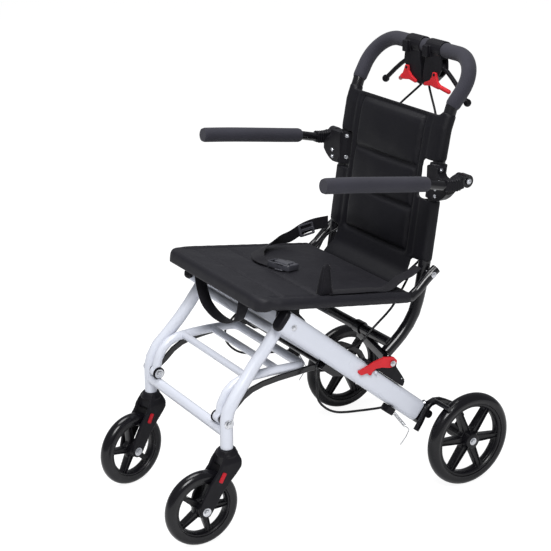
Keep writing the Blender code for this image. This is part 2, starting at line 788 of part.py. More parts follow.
def footrest():
    """The one-piece footrest, put away under the seat."""
    side_points = [
        (0, STEM_Y, FOOT_PIVOT_Z),
        (0, STEM_Y + 0.0045, FOOT_PIVOT_Z + 0.0265),
        (0, -0.2350, 0.2885),
        (0, -0.2200, 0.3015),
        (0, -0.2000, 0.3085),
        (0, -0.1700, 0.3105),
        (0, -0.1300, 0.3105),
        (0, -0.0950, 0.3090),
    ]
    run = flowing(side_points, 1)
    left = [Vector((FOOTREST_X, p.y, p.z)) for p in run]
    corner = Vector((FOOTREST_X, FOOTREST_REAR_Y, FOOTREST_REAR_Z))
    middle = Vector((0, FOOTREST_REAR_Y, FOOTREST_REAR_Z))
    left += soften([left[-1], corner, middle], 0.024, 4)[1:-1]
    mirror = Matrix.Scale(-1, 4, X_AXIS)
    route = left + [mirror @ p for p in reversed(left)]
    origin = (0, STEM_Y, FOOT_PIVOT_Z)
    rest = to_object("footrest", sweep(route, circle(FOOTREST_RADIUS, TUBE_SIDES)), "white_paint", origin)
    for y, z in ((-0.187, 0.3098), (-0.119, 0.3102)):
        join(rest, cross_rod(-FOOTREST_X, FOOTREST_X, y, z, FOOTREST_RUNG_RADIUS, 12))
    for side in (1, -1):
        eye = (side * (FOOTREST_X - FOOTREST_RADIUS), side * (FOOTREST_X + FOOTREST_RADIUS))
        join(rest, cross_rod(*eye, STEM_Y, FOOT_PIVOT_Z, FOOTREST_RADIUS + 0.0015, 16))
        bore = (side * (FOOTREST_X - 0.02), side * (FOOTREST_X + 0.02))
        cut(rest, cross_rod(*bore, STEM_Y, FOOT_PIVOT_Z, BOLT_RADIUS + BORE_PLAY, ROD_SIDES))


def link_frame():
    """The two curved links behind the legs, with the rod and shoes that they push."""
    bend = [
        (0, STEM_Y, FOOT_PIVOT_Z),
        (0, -0.2240, 0.2600),
        (0, -0.2050, 0.2770),
        (0, -0.1850, 0.2880),
        (0, -0.1600, 0.2945),
        (0, -0.1250, 0.2985),
        (0, -0.0850, 0.3005),
        (0, -0.0500, 0.3030),
        (0, LINK_ROD_Y, LINK_ROD_Z),
    ]
    section = rounded_bar(LINK_THICKNESS, LINK_DEPTH, 0.0015, 1)
    origin = (0, STEM_Y, FOOT_PIVOT_Z)
    run = flowing(bend, 1)
    links = None
    for side in (1, -1):
        solid = sweep([(side * LINK_X, p.y, p.z) for p in run], section)
        if links is None:
            links = to_object("link_frame", solid, "black_paint", origin)
        else:
            join(links, solid)
    join(links, cross_rod(-LINK_X, LINK_X, LINK_ROD_Y, LINK_ROD_Z, LINK_ROD_RADIUS, 12))
    for side in (1, -1):
        half = LINK_THICKNESS / 2
        eye = (side * (LINK_X - half), side * (LINK_X + half))
        join(links, cross_rod(*eye, STEM_Y, FOOT_PIVOT_Z, LINK_DEPTH / 2 + 0.002, 16))
        bore = (side * (LINK_X - 0.01), side * (LINK_X + 0.01))
        cut(links, cross_rod(*bore, STEM_Y, FOOT_PIVOT_Z, BOLT_RADIUS + BORE_PLAY, ROD_SIDES))
        front = 0.133
        shoe = [
            (front, -0.037), (front + 0.004, -0.018), (front + 0.030, -0.014),
            (front + SHOE_LENGTH, -0.019), (front + SHOE_LENGTH - 0.004, -0.026),
            (front + 0.034, -0.036),
        ]
        join(links, rail_plate(
            shoe, 0.003, side * (LINK_X - half), side * (RAIL_INNER - RUNNING / 2), 2
        ))


def lock_brackets():
    """The black brackets on the rails, where the fold levers turn."""
    outline = [
        (0.198, RAIL_TOP + TOUCH), (0.198, 0.029), (0.234, 0.030), (0.246, 0.052),
        (0.256, 0.062), (0.266, 0.060), (0.276, 0.046), (0.298, 0.042), (0.314, 0.034),
        (0.318, RAIL_TOP + TOUCH),
    ]
    inner = BACK_TUBE_X + BACK_TUBE_RADIUS + RUNNING
    outer = RAIL_OUTER
    for name, side in SIDES:
        bracket = to_object(
            f"lock_bracket_{name}", rail_plate(outline, 0.003, side * inner, side * outer, 2),
            "black_plastic",
        )
        stub = (side * (outer - 0.004), side * (outer + TOUCH + LEVER_THICKNESS + 0.0015))
        join(bracket, cross_rod(*stub, *lever_pivot(), BOLT_RADIUS, 12))


def lever_pivot():
    return on_rail(LEVER_PIVOT_ALONG, LEVER_PIVOT_UP)


def fold_levers():
    """The red levers that hook the rails' latch pins."""
    outline = [
        (0.263, 0.060), (0.250, 0.062), (0.229, 0.051), (0.213, 0.032), (0.196, 0.005),
        (0.189, -0.003), (0.203, -0.005), (0.214, 0.006), (0.2255, 0.004),
        (0.2235, 0.0130), (0.2265, 0.0225), (0.238, 0.031), (0.256, 0.039), (0.265, 0.048),
    ]
    inner = RAIL_OUTER + TOUCH
    outer = inner + LEVER_THICKNESS
    for name, side in SIDES:
        lever = to_object(
            f"fold_lever_{name}", rail_plate(outline, 0.003, side * inner, side * outer, 2),
            "red_plastic", at(0, lever_pivot()),
        )
        bore = (side * (inner - 0.01), side * (outer + 0.01))
        cut(lever, cross_rod(*bore, *lever_pivot(), BOLT_RADIUS + BORE_PLAY, ROD_SIDES))


def seat_point(along, up):
    """The (y, z) of a point given along the seat tube from the fold bolt and square to it."""
    slope = math.radians(SEAT_SLOPE)
    return (
        FOLD_Y + along * math.cos(slope) + up * math.sin(slope),
        SEAT_HEIGHT_AT_FOLD - along * math.sin(slope) + up * math.cos(slope),
    )


def seat_front_along():
    return (SEAT_FRONT_Y - FOLD_Y) / math.cos(math.radians(SEAT_SLOPE))


def seat_frame():
    """The bent seat tube, its crossbar and the lugs that hang it on the fold bolts."""
    rear = [
        (BACK_PIVOT_Y + 0.0130, BACK_PIVOT_Z + 0.0080),
        (BACK_PIVOT_Y + 0.0020, BACK_PIVOT_Z + 0.0005),
        (BACK_PIVOT_Y - 0.0147, BACK_PIVOT_Z - 0.0136),
        (BACK_PIVOT_Y - 0.0314, BACK_PIVOT_Z - 0.0294),
        (BACK_PIVOT_Y - 0.0480, BACK_PIVOT_Z - 0.0405),
    ]
    half = [at(SEAT_TUBE_X, place) for place in rear]
    half.append(at(SEAT_TUBE_X, seat_point(0.248, 0)))
    front = seat_point(seat_front_along(), 0)
    half += soften([half[-1], at(SEAT_TUBE_X, front), at(0, front)], SEAT_CORNER_RADIUS, 5)[1:-1]
    mirror = Matrix.Scale(-1, 4, X_AXIS)
    route = half + [mirror @ Vector(p) for p in reversed(half)]
    origin = (0, FOLD_Y, FOLD_Z)
    seat = to_object("seat_frame", sweep(route, circle(SEAT_TUBE_RADIUS, TUBE_SIDES)), "black_paint", origin)
    bar = seat_point(0.010, 0)
    join(seat, cross_rod(-SEAT_TUBE_X, SEAT_TUBE_X, *bar, SEAT_TUBE_RADIUS * 0.8, 12))
    lug_outer = LEG_TOP_X - LEG_RADIUS - TOUCH
    half_lug = SEAT_LUG_WIDTH / 2
    lug = [
        (FOLD_Y - half_lug, FOLD_Z - half_lug), (FOLD_Y + half_lug, FOLD_Z - half_lug),
        (bar[0] + half_lug, bar[1] + 0.002), (bar[0] - half_lug, bar[1] + 0.002),
    ]
    for side in (1, -1):
        span = (side * (lug_outer - SEAT_LUG_THICKNESS), side * lug_outer)
        join(seat, round_plate(lug, half_lug * 0.8, *span, 3))
        past = (span[0] - side * 0.01, span[1] + side * 0.01)
        cut(seat, cross_rod(*past, FOLD_Y, FOLD_Z, BOLT_RADIUS + BORE_PLAY, ROD_SIDES))
        pivot = (side * (SEAT_TUBE_X - 0.03), side * (SEAT_TUBE_X + 0.03))
        cut(seat, cross_rod(*pivot, BACK_PIVOT_Y, BACK_PIVOT_Z, BOLT_RADIUS + BORE_PLAY, ROD_SIDES))


def back_bolts():
    """The bolts between the seat tube and the back tube."""
    inner = BACK_TUBE_X - BACK_TUBE_RADIUS - TOUCH
    outer = SEAT_TUBE_X + SEAT_TUBE_RADIUS + TOUCH
    for name, side in SIDES:
        spans = (
            (inner - BOLT_HEAD_LENGTH, inner, BOLT_HEAD_RADIUS),
            (inner, outer, BOLT_RADIUS),
            (outer, outer + BOLT_HEAD_LENGTH, BOLT_HEAD_RADIUS),
        )
        bolt(f"back_bolt_{name}", side, spans, BACK_PIVOT_Y, BACK_PIVOT_Z)


def quilt(columns, rows, place, top, bottom):
    """A closed pad: place(u, v, w) puts each point, and top and bottom give its height w."""
    solid = bmesh.new()
    grid = {}
    for face, height in (("top", top), ("bottom", bottom)):
        for row in range(rows + 1):
            for column in range(columns + 1):
                u, v = column / columns, row / rows
                grid[face, column, row] = solid.verts.new(place(u, v, height(u, v)))
    for face in ("top", "bottom"):
        for row in range(rows):
            for column in range(columns):
                solid.faces.new((
                    grid[face, column, row], grid[face, column + 1, row],
                    grid[face, column + 1, row + 1], grid[face, column, row + 1],
                ))
    rim = [(column, 0) for column in range(columns)]
    rim += [(columns, row) for row in range(rows)]
    rim += [(column, rows) for column in range(columns, 0, -1)]
    rim += [(0, row) for row in range(rows, 0, -1)]
    for (c1, r1), (c2, r2) in zip(rim, rim[1:] + rim[:1]):
        solid.faces.new((
            grid["top", c1, r1], grid["top", c2, r2], grid["bottom", c2, r2], grid["bottom", c1, r1],
        ))
    return solid


def crown(u, v, power=0.5):
    """How far a cushion stands up, from 0 at its edges to 1 in its middle."""
    return max(math.sin(math.pi * u) * math.sin(math.pi * v), 0) ** power


def groove(position, at_share, width):
    return math.exp(-(((position - at_share) / width) ** 2))


def pad_share(along):
    """How far a place is between the seat cover's front and rear edges, from 0 to 1."""
    front = seat_front_along() - SEAT_TUBE_RADIUS
    rear = (PAD_REAR_Y - FOLD_Y) / math.cos(math.radians(SEAT_SLOPE))
    return min(max((along - front) / (rear - front), 0), 1)


def seat_pad():
    """The padded seat cover, rolled over the front of the seat tube, with sewn channels."""
    front = seat_front_along()
    rear = (PAD_REAR_Y - FOLD_Y) / math.cos(math.radians(SEAT_SLOPE))
    lift = SEAT_TUBE_RADIUS + TOUCH
    face = front - SEAT_TUBE_RADIUS - 0.0013
    stations = [(face, -PAD_LIP_DROP), (face, 0), (front - 0.0090, 0.0085), (front - 0.002, 0.0115)]
    flat_rows = 9
    start = front + 0.008
    for row in range(flat_rows + 1):
        stations.append((start + (rear - start) * row / flat_rows, lift))
    line = [Vector((0, *seat_point(*station))) for station in stations]
    rows = len(line) - 1

    def place(u, v, w):
        index = round(v * rows)
        ahead = line[min(index + 1, rows)] - line[max(index - 1, 0)]
        share = pad_share(stations[index][0])
        drawn_in = 1 - 0.02 * math.sin(math.pi * share)
        narrow = 1 - 0.02 * (1 - min(share / 0.10, 1)) ** 2
        x = (2 * u - 1) * (SEAT_TUBE_X + PAD_OVERHANG) * drawn_in * narrow
        return line[index] + X_AXIS.cross(ahead).normalized() * w + X_AXIS * x

    def top(u, v):
        share = pad_share(stations[round(v * rows)][0])
        channels = groove(u, 0.12, 0.03) + groove(u, 0.88, 0.03) + groove(share, 0.12, 0.04)
        return PAD_EDGE + PAD_CROWN * crown(u, share, 0.8) * (1 - 0.45 * min(channels, 1))

    to_object("seat_pad", quilt(16, rows, place, top, lambda u, v: 0.0), "black_fabric")


def seat_top(x, y):
    """The height of the seat cover's top face at a place."""
    along = (y - FOLD_Y) / math.cos(math.radians(SEAT_SLOPE))
    u = min(max((x / (SEAT_TUBE_X + PAD_OVERHANG) + 1) / 2, 0), 1)
    rise = PAD_EDGE + PAD_CROWN * crown(u, pad_share(along), 0.8)
    return seat_point(along, SEAT_TUBE_RADIUS + TOUCH + rise)[1]


def band(stations, thickness):
    """A flat strap from (middle point, half-width vector) stations."""
    solid = bmesh.new()
    middles = [Vector(middle) for middle, _ in stations]
    rings = []
    for index, (_, half_width) in enumerate(stations):
        ahead = middles[min(index + 1, len(middles) - 1)] - middles[max(index - 1, 0)]
        half_width = Vector(half_width)
        face = ahead.cross(half_width).normalized() * (thickness / 2)
        corners = (half_width + face, face - half_width, -half_width - face, half_width - face)
        rings.append([solid.verts.new(middles[index] + corner) for corner in corners])
    skin(solid, rings)
    return solid


def pull_strap():
    """The webbing loop under the seat's front that folds the chair when it is pulled up."""
    tube_bottom = seat_point(seat_front_along(), -SEAT_TUBE_RADIUS)[1] - 2 * TOUCH
    path = [
        (-0.086, tube_bottom), (-0.083, 0.4395), (-0.075, 0.419), (-0.060, 0.399),
        (-0.032, 0.387), (0, 0.383), (0.032, 0.387), (0.060, 0.399), (0.075, 0.419),
        (0.083, 0.4395), (0.086, tube_bottom),
    ]
    smooth = flowing([(x, STRAP_Y, z) for x, z in path], 2)
    half_width = Y_AXIS * (STRAP_WIDTH / 2)
    to_object("pull_strap", band([(p, half_width) for p in smooth], STRAP_THICKNESS), "webbing")


def lap_belts():
    """The two halves of the lap belt, each with its half of the buckle."""
    half = BELT_WIDTH / 2
    upright = Vector((0, 0, half))
    right = [
        ((-0.160, 0.189, 0.4815), upright),
        ((-0.160, 0.150, 0.4810), upright),
        ((-0.160, 0.117, 0.4785), upright),
        ((-0.159, 0.101, 0.4680), Vector((0.3, 0, 0.95)).normalized() * half),
        ((-0.152, 0.078, 0.4635), Vector((0.8, 0.1, 0.6)).normalized() * half),
        ((-0.139, 0.056, seat_top(-0.139, 0.056) + 0.0060), Vector((0.86, 0.4, 0.3)).normalized() * half),
        ((-0.118, 0.036, seat_top(-0.118, 0.036) + 0.0022), Vector((0.6, 0.8, 0)) * half),
        ((-0.090, 0.018, seat_top(-0.090, 0.018) + BELT_LIFT), Vector((0.5, 0.86, -0.12)) * half),
        ((-0.058, 0.003, seat_top(-0.058, 0.003) + BELT_LIFT), Vector((0.4, 0.91, -0.13)) * half),
    ]
    belt = to_object("lap_belt_right", band(right, STRAP_THICKNESS), "webbing")
    adjuster = rounded_bar(ADJUSTER_HEIGHT, ADJUSTER_THICKNESS, 0.003, 1)
    join(belt, sweep([(-0.160, 0.112, 0.4735), (-0.160, 0.152, 0.4755)], adjuster, Z_AXIS))
    rise = seat_top(-0.050, 0) + BUCKLE_THICKNESS / 2 + BUCKLE_LIFT
    join(belt, buckle((-0.037, -0.006, rise), (0.91, -0.41, 0.05), (0.41, 0.91, -0.13), 0.058))
    left = [
        ((0.160, 0.188, 0.474), X_AXIS * half),
        ((0.156, 0.168, 0.462), X_AXIS * half),
        ((0.150, 0.145, 0.455), X_AXIS * half),
    ]
    for x, y in ((0.141, 0.112), (0.133, 0.075), (0.127, 0.040), (0.123, 0.016)):
        left.append(((x, y, seat_top(x, y) + BELT_LIFT), X_AXIS * half))
    left.append(((0.121, 0.004, seat_top(0.121, 0.004) + 0.012), X_AXIS * half))
    left.append(((0.120, -0.002, seat_top(0.120, -0.002) + 0.022), X_AXIS * half))
    belt = to_object("lap_belt_left", band(left, STRAP_THICKNESS), "webbing")
    tongue = (0.1195, -0.0035, seat_top(0.120, -0.002) + 0.036)
    join(belt, buckle(tongue, (0, -0.10, 0.995), (1, 0, 0), 0.040))


def buckle(middle, along, across, length):
    """One half of a plastic buckle: a flattened box with round edges."""
    along, across = Vector(along).normalized(), Vector(across).normalized()
    section = rounded_bar(BUCKLE_WIDTH, BUCKLE_THICKNESS, 0.004, 2)
    start = Vector(middle) - along * (length / 2)
    return sweep([start, start + along * length], section, across)


BACK_LINE = (
    (0.1190, 0.3040), (0.1285, 0.3115), (0.1410, 0.3215), (0.1560, 0.3350),
    (0.1725, 0.3535), (0.1860, 0.3760), (0.1940, 0.4000), (0.2000, 0.4250),
    (BACK_PIVOT_Y, BACK_PIVOT_Z), (0.2160, 0.5370), (0.2250, 0.6080),
    (0.2350, 0.6800), (0.2460, 0.7450), (HANDLE_BEND_Y, HANDLE_BEND_Z),
)


def back_line():
    """The back tube's centre line as (y, z) points, from its foot to the handle's bend."""
    return list(BACK_LINE)


def back_stretch(low, high):
    """The part of the back tube's centre line between two heights, with both ends."""
    line = back_line()
    inside = [place for place in line if low < place[1] < high]
    return [(back_y(low), low), *inside, (back_y(high), high)]


def back_y(height):
    for (y_low, low), (y_high, high) in zip(back_line(), back_line()[1:]):
        if low <= height <= high:
            return y_low + (y_high - y_low) * (height - low) / (high - low)
    raise ValueError("this height is above or below the back tube")


def handle_route():
    """The bend over the top, from the left back tube to the right one."""
    bend = [
        (BACK_TUBE_X, HANDLE_BEND_Y, HANDLE_BEND_Z),
        (HANDLE_X, HANDLE_Y, HANDLE_Z),
        (-HANDLE_X, HANDLE_Y, HANDLE_Z),
        (-BACK_TUBE_X, HANDLE_BEND_Y, HANDLE_BEND_Z),
    ]
    return soften(bend, HANDLE_CORNER_RADIUS, 7, share=0.8)


def back_frame():
    """The bent back tube, its lower crossbar and the bolts' bores."""
    side = [at(BACK_TUBE_X, place) for place in back_line()[:-1]]
    mirror = Matrix.Scale(-1, 4, X_AXIS)
    route = side + handle_route() + [mirror @ Vector(p) for p in reversed(side)]
    origin = (0, BACK_PIVOT_Y, BACK_PIVOT_Z)
    frame = to_object("back_frame", sweep(route, circle(BACK_TUBE_RADIUS, TUBE_SIDES)), "black_paint", origin)
    join(frame, cross_rod(-BACK_TUBE_X, BACK_TUBE_X, BACK_BAR_Y, BACK_BAR_Z, BACK_BAR_RADIUS))
    for side in (1, -1):
        span = (side * (BACK_TUBE_X - 0.02), side * (BACK_TUBE_X + 0.02))
        cut(frame, cross_rod(*span, BACK_PIVOT_Y, BACK_PIVOT_Z, BOLT_RADIUS + BORE_PLAY, ROD_SIDES))


def sleeve(path, outer, inner, sides):
    """A tube with open ends along a path."""
    shell = sweep(path, circle(outer, sides))
    bore = sweep(path, circle(inner, sides))
    solid = bmesh.new()
    for source in (shell, bore):
        source.faces.ensure_lookup_table()
        ends = source.faces[-2:]
        for end in ends:
            source.faces.remove(end)
        mesh = bpy.data.meshes.new("sleeve_wall")
        source.to_mesh(mesh)
        solid.from_mesh(mesh)
        bpy.data.meshes.remove(mesh)
        source.free()
    solid.verts.ensure_lookup_table()
    count = len(solid.verts) // 2
    for first in (0, count - sides):
        for n in range(sides):
            m = (n + 1) % sides
            ring = [solid.verts[first + n], solid.verts[first + m]]
            ring += [solid.verts[count + first + m], solid.verts[count + first + n]]
            solid.faces.new(ring)
    return solid


def handle_grip():
    """The foam sleeve round the whole handle."""
    bore = BACK_TUBE_RADIUS / math.cos(math.pi / TUBE_SIDES) + TOUCH
    wall = sleeve(handle_route(), GRIP_RADIUS, bore, TUBE_SIDES)
    to_object("handle_grip", wall, "foam")


def back_pad():
    """The padded back cover, held on the tubes by its own sleeves, with a flap to the seat."""
    low, high = BACK_PAD_BOTTOM_Z, BACK_PAD_TOP_Z
    skin_offset = BACK_TUBE_RADIUS + TOUCH + 0.0001
    flap = [(0.1575, 0.4345), (0.1710, 0.4405), (0.1855, 0.4525), (0.1925, 0.4700)]
    line = [Vector((0, *place)) for place in flap]
    rear_line = back_stretch(low, high)
    for y, z in rear_line:
        line.append(Vector((0, y - skin_offset, z)))
    lengths = [0.0]
    for before, after in zip(line, line[1:]):
        lengths.append(lengths[-1] + (after - before).length)
    total = lengths[-1]
    sleeve_from = lengths[len(flap)] / total

    def spine(v):
        for index, (start, end) in enumerate(zip(lengths, lengths[1:])):
            if v * total <= end or end == total:
                share = (v * total - start) / (end - start)
                ahead = (line[index + 1] - line[index]).normalized()
                return line[index].lerp(line[index + 1], share), X_AXIS.cross(ahead)
        return line[-1], -Y_AXIS

    flap_rows, rows = 3, 13
    below_step = sleeve_from - 0.004 / total

    def level(v):
        row = v * rows
        if row <= flap_rows:
            return below_step * row / flap_rows
        return sleeve_from + (1 - sleeve_from) * (row - flap_rows - 1) / (rows - flap_rows - 1)

    def place(u, v, w):
        middle, front = spine(level(v))
        narrow = v * rows <= flap_rows
        reach = BACK_FLAP_HALF_WIDTH if narrow else BACK_TUBE_X + SLEEVE_RADIUS - 0.002
        return middle + front * w + X_AXIS * ((2 * u - 1) * reach)

    def top(u, v):
        seams = groove(v, 0.46, 0.03) + groove(v, 0.77, 0.03) + groove(u, 0.11, 0.03)
        seams += groove(u, 0.89, 0.03)
        return 0.0025 + BACK_PAD_CROWN * crown(u, v) * (1 - 0.5 * min(seams, 1))

    pad = to_object("back_pad", quilt(14, rows, place, top, lambda u, v: 0.0), "black_fabric")
    for side in (1, -1):
        path = [at(side * BACK_TUBE_X, spot) for spot in back_stretch(low, high)]
        join(pad, sweep(path, circle(SLEEVE_RADIUS, TUBE_SIDES)))
    for side in (1, -1):
        path = [at(side * BACK_TUBE_X, spot) for spot in back_stretch(low - 0.015, high + 0.010)]
        cut(pad, sweep(path, circle(BACK_TUBE_RADIUS + TOUCH, TUBE_SIDES)))
        outward = (side * CUTOUT_X, side * (BACK_TUBE_X + 0.05))
        cut(pad, block(outward, (0.150, 0.300), (BRACKET_LOW_Z - 0.004, BRACKET_HIGH_Z + 0.004)))


def slab(outline, y_one, y_two):
    """A flat plate from an outline of (x, z) points, between two planes across Y."""
    solid = bmesh.new()
    skin(solid, [[solid.verts.new((x, y, z)) for x, z in outline] for y in (y_one, y_two)])
    return solid


def round_slab(outline, radius, y_one, y_two, steps=2):
    corners = soften([(x, 0, z) for x, z in outline], radius, steps, closed=True)
    return slab([(corner.x, corner.z) for corner in corners], y_one, y_two)


def arm_brackets():
    """The clamps on the back tubes that carry the armrests' pivots."""
    low, high = BRACKET_LOW_Z, BRACKET_HIGH_Z
    knuckle_start = ARMREST_X - ARM_TUBE_RADIUS
    plate_face = knuckle_start - 0.0007
    plate_start = plate_face - BRACKET_PLATE
    gusset = [
        (0.150, low + 0.002), (0.165, low), (0.178, low), (0.190, low + 0.004),
        (0.202, low + 0.012), (plate_face, low + 0.022), (plate_face, low + 0.044),
        (0.204, low + 0.047), (0.189, low + 0.051), (0.1845, low + 0.057), (0.1845, high),
        (0.150, high),
    ]
    web = [
        (0.214, 0.628), (0.232, 0.632), (0.250, 0.643), (ARM_PIVOT_Y + 0.0115, 0.654),
        (ARM_PIVOT_Y + 0.010, 0.665), (ARM_PIVOT_Y, 0.669), (ARM_PIVOT_Y - 0.015, 0.664),
        (0.214, 0.652),
    ]
    for name, side in SIDES:
        outline = [(side * x, z) for x, z in gusset]
        bracket = to_object(
            f"arm_bracket_{name}", round_slab(outline, 0.003, 0.210, 0.231), "black_plastic"
        )
        path = [at(side * BACK_TUBE_X, spot) for spot in back_stretch(low, high)]
        join(bracket, sweep(path, circle(CLAMP_RADIUS, TUBE_SIDES)))
        join(bracket, round_plate(web, 0.004, side * plate_start, side * plate_face, 2))
        pivot = (ARM_PIVOT_Y, ARM_PIVOT_Z)
        boss = (side * plate_start, side * (knuckle_start - TOUCH))
        join(bracket, cross_rod(*boss, *pivot, ARM_BOSS_DISC, 16))
        head_start = knuckle_start + ARM_KNUCKLE_WIDTH + TOUCH
        pin = (side * (plate_face - 0.002), side * (head_start + 0.001))
        join(bracket, cross_rod(*pin, *pivot, BOLT_RADIUS, ROD_SIDES))
        head = (side * head_start, side * (head_start + BOLT_HEAD_LENGTH * 0.8))
        join(bracket, cross_rod(*head, *pivot, BOLT_HEAD_RADIUS, 14))
        through = [
            at(side * BACK_TUBE_X, spot) for spot in back_stretch(low - 0.02, high + 0.02)
        ]
        cut(bracket, sweep(through, circle(BACK_TUBE_RADIUS + TOUCH, TUBE_SIDES)))


def armrests():
    """The armrest tubes with their knuckles, and the foam on them."""
    foam_path = [
        (ARMREST_X, ARM_FRONT_Y, ARM_FRONT_Z),
        (ARMREST_X, -0.020, 0.6885),
        (ARMREST_X, 0.050, 0.6788),
        (ARMREST_X, 0.115, 0.6695),
        (ARMREST_X, ARM_PAD_REAR_Y, ARM_PAD_REAR_Z),
    ]
    rear = [
        (ARMREST_X, 0.190, 0.6560),
        (ARMREST_X, 0.218, 0.6525),
        (ARMREST_X, ARM_PIVOT_Y - 0.0100, ARM_PIVOT_Z - 0.0030),
    ]
    start = (ARMREST_X, ARM_FRONT_Y + 0.002, ARM_FRONT_Z - 0.0002)
    origin = (0, ARM_PIVOT_Y, ARM_PIVOT_Z)
    for name, side in SIDES:
        route = [Vector((side * x, y, z)) for x, y, z in [start, *foam_path[1:], *rear]]
        tube = to_object(
            f"arm_tube_{name}", sweep(route, circle(ARM_TUBE_RADIUS, TUBE_SIDES)), "black_paint", origin
        )
        knuckle_start = ARMREST_X - ARM_TUBE_RADIUS
        knuckle = (side * knuckle_start, side * (knuckle_start + ARM_KNUCKLE_WIDTH))
        pivot = (ARM_PIVOT_Y, ARM_PIVOT_Z)
        join(tube, cross_rod(*knuckle, *pivot, ARM_KNUCKLE_RADIUS, 24))
        bore = (side * (knuckle_start - 0.02), side * (knuckle_start + 0.04))
        cut(tube, cross_rod(*bore, *pivot, BOLT_RADIUS + BORE_PLAY, ROD_SIDES))
        wall = sleeve(
            [(side * x, y, z) for x, y, z in foam_path],
            ARM_PAD_RADIUS, ARM_TUBE_RADIUS + TOUCH, TUBE_SIDES,
        )
        to_object(f"arm_pad_{name}", wall, "foam", origin)


def lever_place(side):
    return Vector((side * LEVER_X, BRAKE_BODY_Y, LEVER_Z))


def hung(side, height, outline):
    """An outline of (x, z) points from (x, drop) points below a height, for one side."""
    return [(side * x, height - drop) for x, drop in outline]


def brake_bodies():
    """The bodies clamped under the handle, with the pins that their levers turn on."""
    outline = [
        (0.0095, 0.0077), (0.057, 0.0077), (0.0605, 0.0237), (0.0615, 0.0377), (0.052, 0.0517),
        (0.034, 0.0667), (0.016, 0.0767), (0.0035, 0.0792), (0.0015, 0.0697), (0.004, 0.0457),
        (0.008, 0.0257),
    ]
    front, rear = BRAKE_BODY_Y - BRAKE_BODY_DEPTH / 2, BRAKE_BODY_Y + BRAKE_BODY_DEPTH / 2
    for name, side in SIDES:
        solid = round_slab(hung(side, HANDLE_Z, outline), 0.004, front, rear)
        body = to_object(f"brake_lever_body_{name}", solid, "black_plastic")
        ring = (side * CLAMP_START_X, side * (CLAMP_START_X + CLAMP_WIDTH))
        join(body, cross_rod(*ring, HANDLE_Y, HANDLE_Z, HANDLE_CLAMP_RADIUS, 20))
        bore = (side * (CLAMP_START_X - 0.01), side * (CLAMP_START_X + CLAMP_WIDTH + 0.01))
        cut(body, cross_rod(*bore, HANDLE_Y, HANDLE_Z, GRIP_RADIUS + 2 * TOUCH, 20))
        gap = LEVER_ROOT_DEPTH / 2 + TOUCH
        slot = [
            (0.040, 0.0177), (0.080, 0.0177), (0.080, 0.0637), (0.052, 0.0577), (0.040, 0.0457),
        ]
        cut(body, slab(hung(side, HANDLE_Z, slot), BRAKE_BODY_Y - gap, BRAKE_BODY_Y + gap))
        pin = lever_place(side)
        across = Y_AXIS * (gap + 0.002)
        join(body, rod(pin - across, pin + across, LEVER_PIN_RADIUS, ROD_SIDES))
        stub = Vector((side * LOCK_X, front, LOCK_Z))
        reach = LOCK_THICKNESS + TOUCH + 0.0015
        join(body, rod(stub + Y_AXIS * 0.002, stub - Y_AXIS * reach, LEVER_PIN_RADIUS, ROD_SIDES))


def brake_levers():
    """The hand levers, each a round bar with a ball at its end."""
    for name, side in SIDES:
        pin = lever_place(side)
        half = Y_AXIS * (LEVER_ROOT_DEPTH / 2)
        lever = to_object(
            f"brake_lever_{name}", rod(pin - half, pin + half, 0.0072, 20), "black_plastic", pin
        )
        path = [
            (LEVER_X + 0.002, 0.001), (0.068, 0.006), (0.085, 0.017), (0.104, 0.031),
            (0.121, 0.045), (0.136, LEVER_DROP),
        ]
        smooth = [(x, BRAKE_BODY_Y, z) for x, z in hung(side, LEVER_Z, path)]
        join(lever, sweep(smooth, circle(LEVER_RADIUS, ROD_SIDES)))
        join(lever, ball(smooth[-1], LEVER_BALL_RADIUS))
        cut(lever, rod(pin - half * 2, pin + half * 2, LEVER_PIN_RADIUS + BORE_PLAY, ROD_SIDES))


def ball(middle, radius):
    solid = bmesh.new()
    bmesh.ops.create_uvsphere(solid, u_segments=10, v_segments=7, radius=radius)
    bmesh.ops.translate(solid, verts=solid.verts, vec=Vector(middle))
    return solid


def parking_locks():
    """The red catches in front of the brake bodies that hold the levers."""
    outline = [
        (0.0405, -0.005), (0.0505, -0.005), (0.0535, 0.004), (0.058, 0.013), (0.0665, 0.019),
        (0.062, 0.027), (0.048, 0.0255), (0.036, 0.0235), (0.0145, 0.0275), (0.0125, 0.0215),
        (0.030, 0.014), (0.0385, 0.006),
    ]
    rear = BRAKE_BODY_Y - BRAKE_BODY_DEPTH / 2 - TOUCH
    front = rear - LOCK_THICKNESS
    for name, side in SIDES:
        origin = Vector((side * LOCK_X, front, LOCK_Z))
        solid = round_slab(hung(side, LOCK_Z, outline), 0.002, front, rear)
        lock = to_object(f"parking_lock_{name}", solid, "red_plastic", origin)
        tab = [(side * 0.059, 0.3030, LOCK_Z - 0.0205), (side * 0.080, 0.3130, LOCK_Z - 0.0295)]
        join(lock, rod(*tab, LOCK_TAB_RADIUS, 12))
        join(lock, ball(tab[1], LOCK_TAB_RADIUS))
        cut(lock, rod(
            origin - Y_AXIS * 0.01, origin + Y_AXIS * 0.01, LEVER_PIN_RADIUS + BORE_PLAY, ROD_SIDES
        ))


def cable_stops():
    """The black blocks under the rails that hold the cables' ends."""
    outline = [
        (0.314, -RAIL_TOP - TOUCH), (0.334, -RAIL_TOP - TOUCH), (0.334, -0.038), (0.314, -0.038),
    ]
    for name, side in SIDES:
        solid = rail_plate(outline, 0.002, side * 0.164, side * 0.186, 2)
        to_object(f"cable_stop_{name}", solid, "black_plastic")


